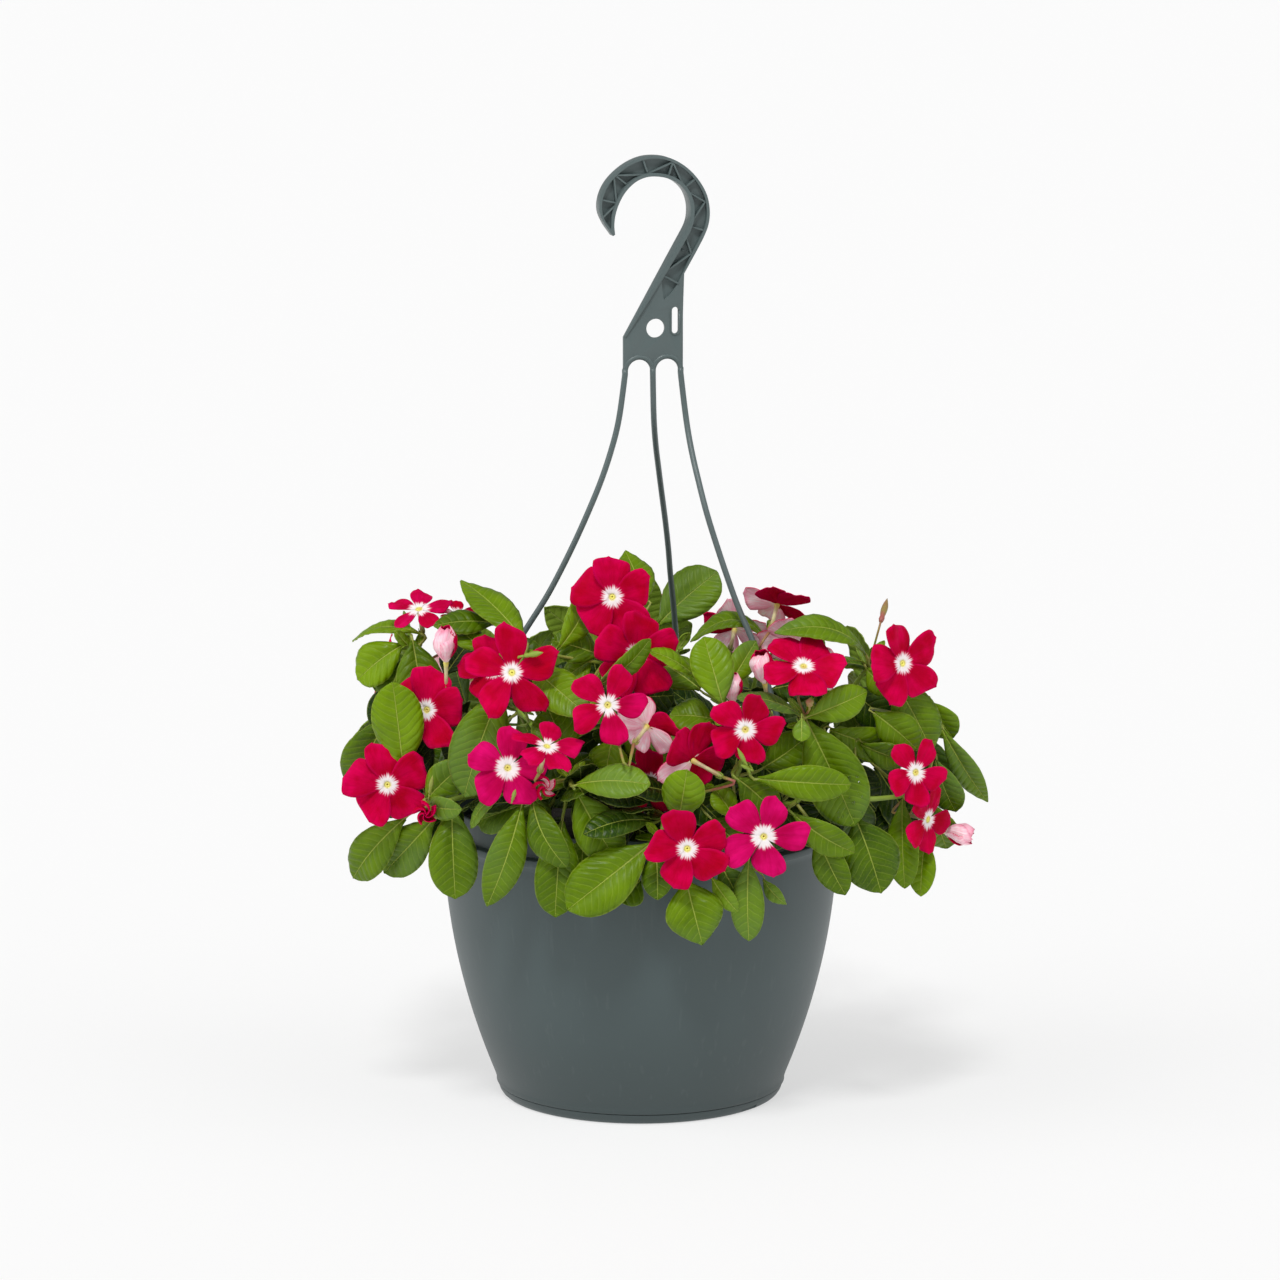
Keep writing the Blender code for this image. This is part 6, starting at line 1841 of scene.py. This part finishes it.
def inner_flange():
    """The deep edge that lines the inside of the hook and runs out down the plate's slope."""
    line = even_line(HOOK_INNER, 130)
    shape = empty_shape()
    last = len(line) - 1
    for i, (across, up) in enumerate(line):
        a = line[max(i - 1, 0)]
        b = line[min(i + 1, last)]
        run = Vector((b[0] - a[0], 0, b[1] - a[1])).normalized()
        side = Vector((-run.z, 0, run.x))
        wide = along(FLANGE_WIDTH, i / last)
        half = along(FLANGE_HALF, i / last)
        for reach, depth in ((-0.15, -half), (wide, -half), (wide, half), (-0.15, half)):
            spot = Vector((across, depth, up)) + side * reach
            add_point(shape, spot, (0.0, 0.0), 0.0, 0.0, 0.0)
    for i in range(last):
        for k in range(4):
            a = 4 * i + k
            b = 4 * i + (k + 1) % 4
            shape["faces"].append((a, b, b + 4, a + 4))
    shape["faces"] += [(3, 2, 1, 0), tuple(4 * last + k for k in range(4))]
    shape["slots"] = [0] * len(shape["faces"])
    item = shape_to_object("inner_flange", shape)
    soften(item, 0.3, 40)
    return item


def hook_rib(start, end):
    """Thin rib across the recess."""
    a = Vector(start)
    b = Vector(end)
    side = (b - a).normalized().orthogonal() * 0.55
    outline = [tuple(a + side), tuple(b + side), tuple(b - side), tuple(a - side)]
    item = slab("hook_rib", outline, -HOOK_HALF + 0.35, WEB_FRONT + 0.5)
    soften(item, 0.22, 40)
    return item


def ease(t):
    t = min(1.0, t)
    return t * t * (3 - 2 * t)


def strand_points(foot):
    """Route of a strand from the plate down its own side and through the collar's slot."""
    turn = math.radians(foot)
    across, back = math.sin(turn), -math.cos(turn)
    middle = abs(foot) > 120
    leg = 0.0 if middle else math.copysign(LEG_SHIFT, foot)
    start_x = AXIS_SHIFT + leg * math.cos(math.radians(PLATE_TURN))
    start_y = leg * math.sin(math.radians(PLATE_TURN))
    top, top_reach = STRAND_REACH[0]
    points = []
    for height, reach in STRAND_REACH:
        share = ease((top - height) / (SWING_MIDDLE if middle else SWING_SIDE))
        x = AXIS_SHIFT * min(1.0, max(0.0, (height - SET_ASIDE_FROM) / SET_ASIDE_RISE)) + reach * across
        if middle:
            x = start_x + (x - start_x) * share
        else:
            x += SIDE_BULGE * math.sin(math.pi * (height - SET_ASIDE_FROM) / BULGE_RUN)
            x += (start_x - AXIS_SHIFT - top_reach * across) * (1 - share)
        y = start_y + (reach * back - start_y) * ease((top - height) / SWING_SIDE)
        points.append(Vector((x, y, height)))
    points.insert(0, Vector((points[0].x, points[0].y, 468.5)))
    out = Vector((across, back, 0))
    return points + [out * 122.8 + Vector((0, 0, 180.4)), out * 114.0 + Vector((0, 0, 181.0))]


def build_hanger(surface):
    """Moulded hook and plate with three round strands that reach into the pot's slots."""
    parts = [hook_body(), inner_flange()] + [hook_rib(start, end) for start, end in RIBS]
    bars = empty_shape()
    for centre in ARCHES:
        line = [Vector((x, 0, z)) for x, z in arc((centre, 466.9), LEG_SHIFT / 2, 0, 180, 28)]
        add_rod(bars, line, [1.75] * len(line), 12, 0.0, 0)
    loop = slit_line(SLIT_RADIUS + 0.45)
    loop.append(loop[0])
    for depth in (-PLATE_SKIN, PLATE_SKIN):
        line = [Vector((x, depth, z)) for x, z in loop]
        add_rod(bars, line, [0.6] * len(line), 8, 0.0, 0)
    pin = [Vector((PIN[0], WEB_FRONT + step, PIN[1])) for step in (0.5, -0.6, -0.9)]
    add_rod(bars, pin, [0.95, 0.95, 0.5], 14, 0.0, 0)
    parts.append(shape_to_object("hook_beads", bars))
    hook = join(parts, "hanger_hook")
    hook.location = (AXIS_SHIFT * MM, 0, 0)
    hook.rotation_euler = (0, 0, math.radians(PLATE_TURN))
    apply_place(hook)
    strands = empty_shape()
    for foot in SLOT_TURNS:
        line = smooth_path(strand_points(foot), 90)
        add_rod(strands, line, [STRAND] * len(line), 16, 0.0, 0)
    hanger = join([hook, shape_to_object("strands", strands)], "hanger_moulding")
    dress(hanger, [surface])
    finish_piece(hanger, "hanger")


CAMERA_LENS = 152.63
CAMERA_DIP = 10.43
CAMERA_SHIFT = -0.5 / 1280
FLOOR_PALE = 0.4
FLOOR_GLOW = 0.57
WORLD_LIGHT = 0.32
# Lamps: name, strength, spread in degrees and the way they shine
SUNS = (
    ("front_top_key", 1.62, 12, (0.1, 0.7, -1.0)),
    ("left_fill", 0.85, 50, (0.9, 0.35, -0.7)),
    ("right_fill", 0.5, 50, (-0.9, 0.35, -0.7)),
)


def build_stage():
    """Pale floor that glows a little, soft studio lamps and the camera at the photographed angle."""
    pick()
    bpy.ops.mesh.primitive_plane_add(size=60.0, location=(0, 20.0, -0.0002))
    floor = bpy.context.object
    floor.name = "studio_floor"
    surface, tree, shader = new_surface("pale_floor", 0.9)
    shader.inputs["Base Color"].default_value = (FLOOR_PALE, FLOOR_PALE, FLOOR_PALE, 1.0)
    shader.inputs["Emission Color"].default_value = (1.0, 1.0, 1.0, 1.0)
    shader.inputs["Emission Strength"].default_value = FLOOR_GLOW
    shader.inputs["Specular IOR Level"].default_value = 0.1
    floor.data.materials.append(surface)

    scene = bpy.context.scene
    scene.view_settings.view_transform = "Standard"
    scene.world = bpy.data.worlds.new("studio")
    scene.world.use_nodes = True
    sky = scene.world.node_tree.nodes["Background"]
    sky.inputs["Color"].default_value = (1.0, 1.0, 1.0, 1.0)
    sky.inputs["Strength"].default_value = WORLD_LIGHT
    for name, energy, spread, way in SUNS:
        sun = bpy.data.lights.new(name, "SUN")
        sun.energy = energy
        sun.angle = math.radians(spread)
        item = bpy.data.objects.new(name, sun)
        bpy.context.collection.objects.link(item)
        item.rotation_euler = Vector(way).to_track_quat("-Z", "Y").to_euler()

    lens = bpy.data.cameras.new("photo_camera")
    lens.sensor_width = 36.0
    lens.lens = CAMERA_LENS
    lens.shift_x = CAMERA_SHIFT
    camera = bpy.data.objects.new("photo_camera", lens)
    bpy.context.collection.objects.link(camera)
    camera.location = [c * MM for c in EYE_POINT]
    camera.rotation_euler = (math.radians(90 - CAMERA_DIP), 0, 0)
    scene.camera = camera


def build():
    """The whole basket, laid out round the solids of the pot, hanger and soil, and the stage."""
    fixed = merged([mesh_shape(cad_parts[name]) for name in ("pot", "hanger", "soil")])
    blooms, paths, plants = make_plants(fixed)

    leaf_lines = leaf_lines_group()
    petal_lines = petal_lines_group()
    moulded = plastic_group()
    face = leaf_surface("leaf_face", leaf_lines, LEAF_DARK, LEAF_BRIGHT, LEAF_RIB, 0.38)
    under = leaf_surface("leaf_under", leaf_lines, UNDER_DARK, UNDER_BRIGHT, UNDER_RIB, 0.6)
    petal = petal_surface("petal_face", petal_lines, STAR_REACH)
    folded = petal_surface("folded_petal", petal_lines, NO_STAR)
    back = petal_back_surface(petal_lines)
    stalk = stalk_surface()
    tube_skin = tube_surface()
    water = water_surface()
    pot_plastic = plastic_surface("pot_plastic", moulded, srgb(62, 76, 77), srgb(71, 85, 86), 0.46)
    hook_plastic = plastic_surface("hanger_plastic", moulded, srgb(80, 94, 94), srgb(96, 109, 109), 0.38)

    leaf_blank = make_blank(10, 20)
    petal_blank = make_blank(14, 14)
    for name, path in paths.items():
        piece = build_stem(name, path, plants[name], (leaf_blank, petal_blank),
                           (face, under, stalk, petal, back, water, petal, folded))
        finish_piece(piece, "stem_" + name)
    for index, bloom in enumerate(blooms):
        piece = build_bloom(index, bloom, petal_blank, (petal, back, tube_skin, stalk, petal, folded))
        finish_piece(piece, "bloom_%02d" % (index + 1))

    build_pot(pot_plastic)
    build_saucer(pot_plastic)
    build_soil(soil_surface())
    build_hanger(hook_plastic)
    build_stage()


build()
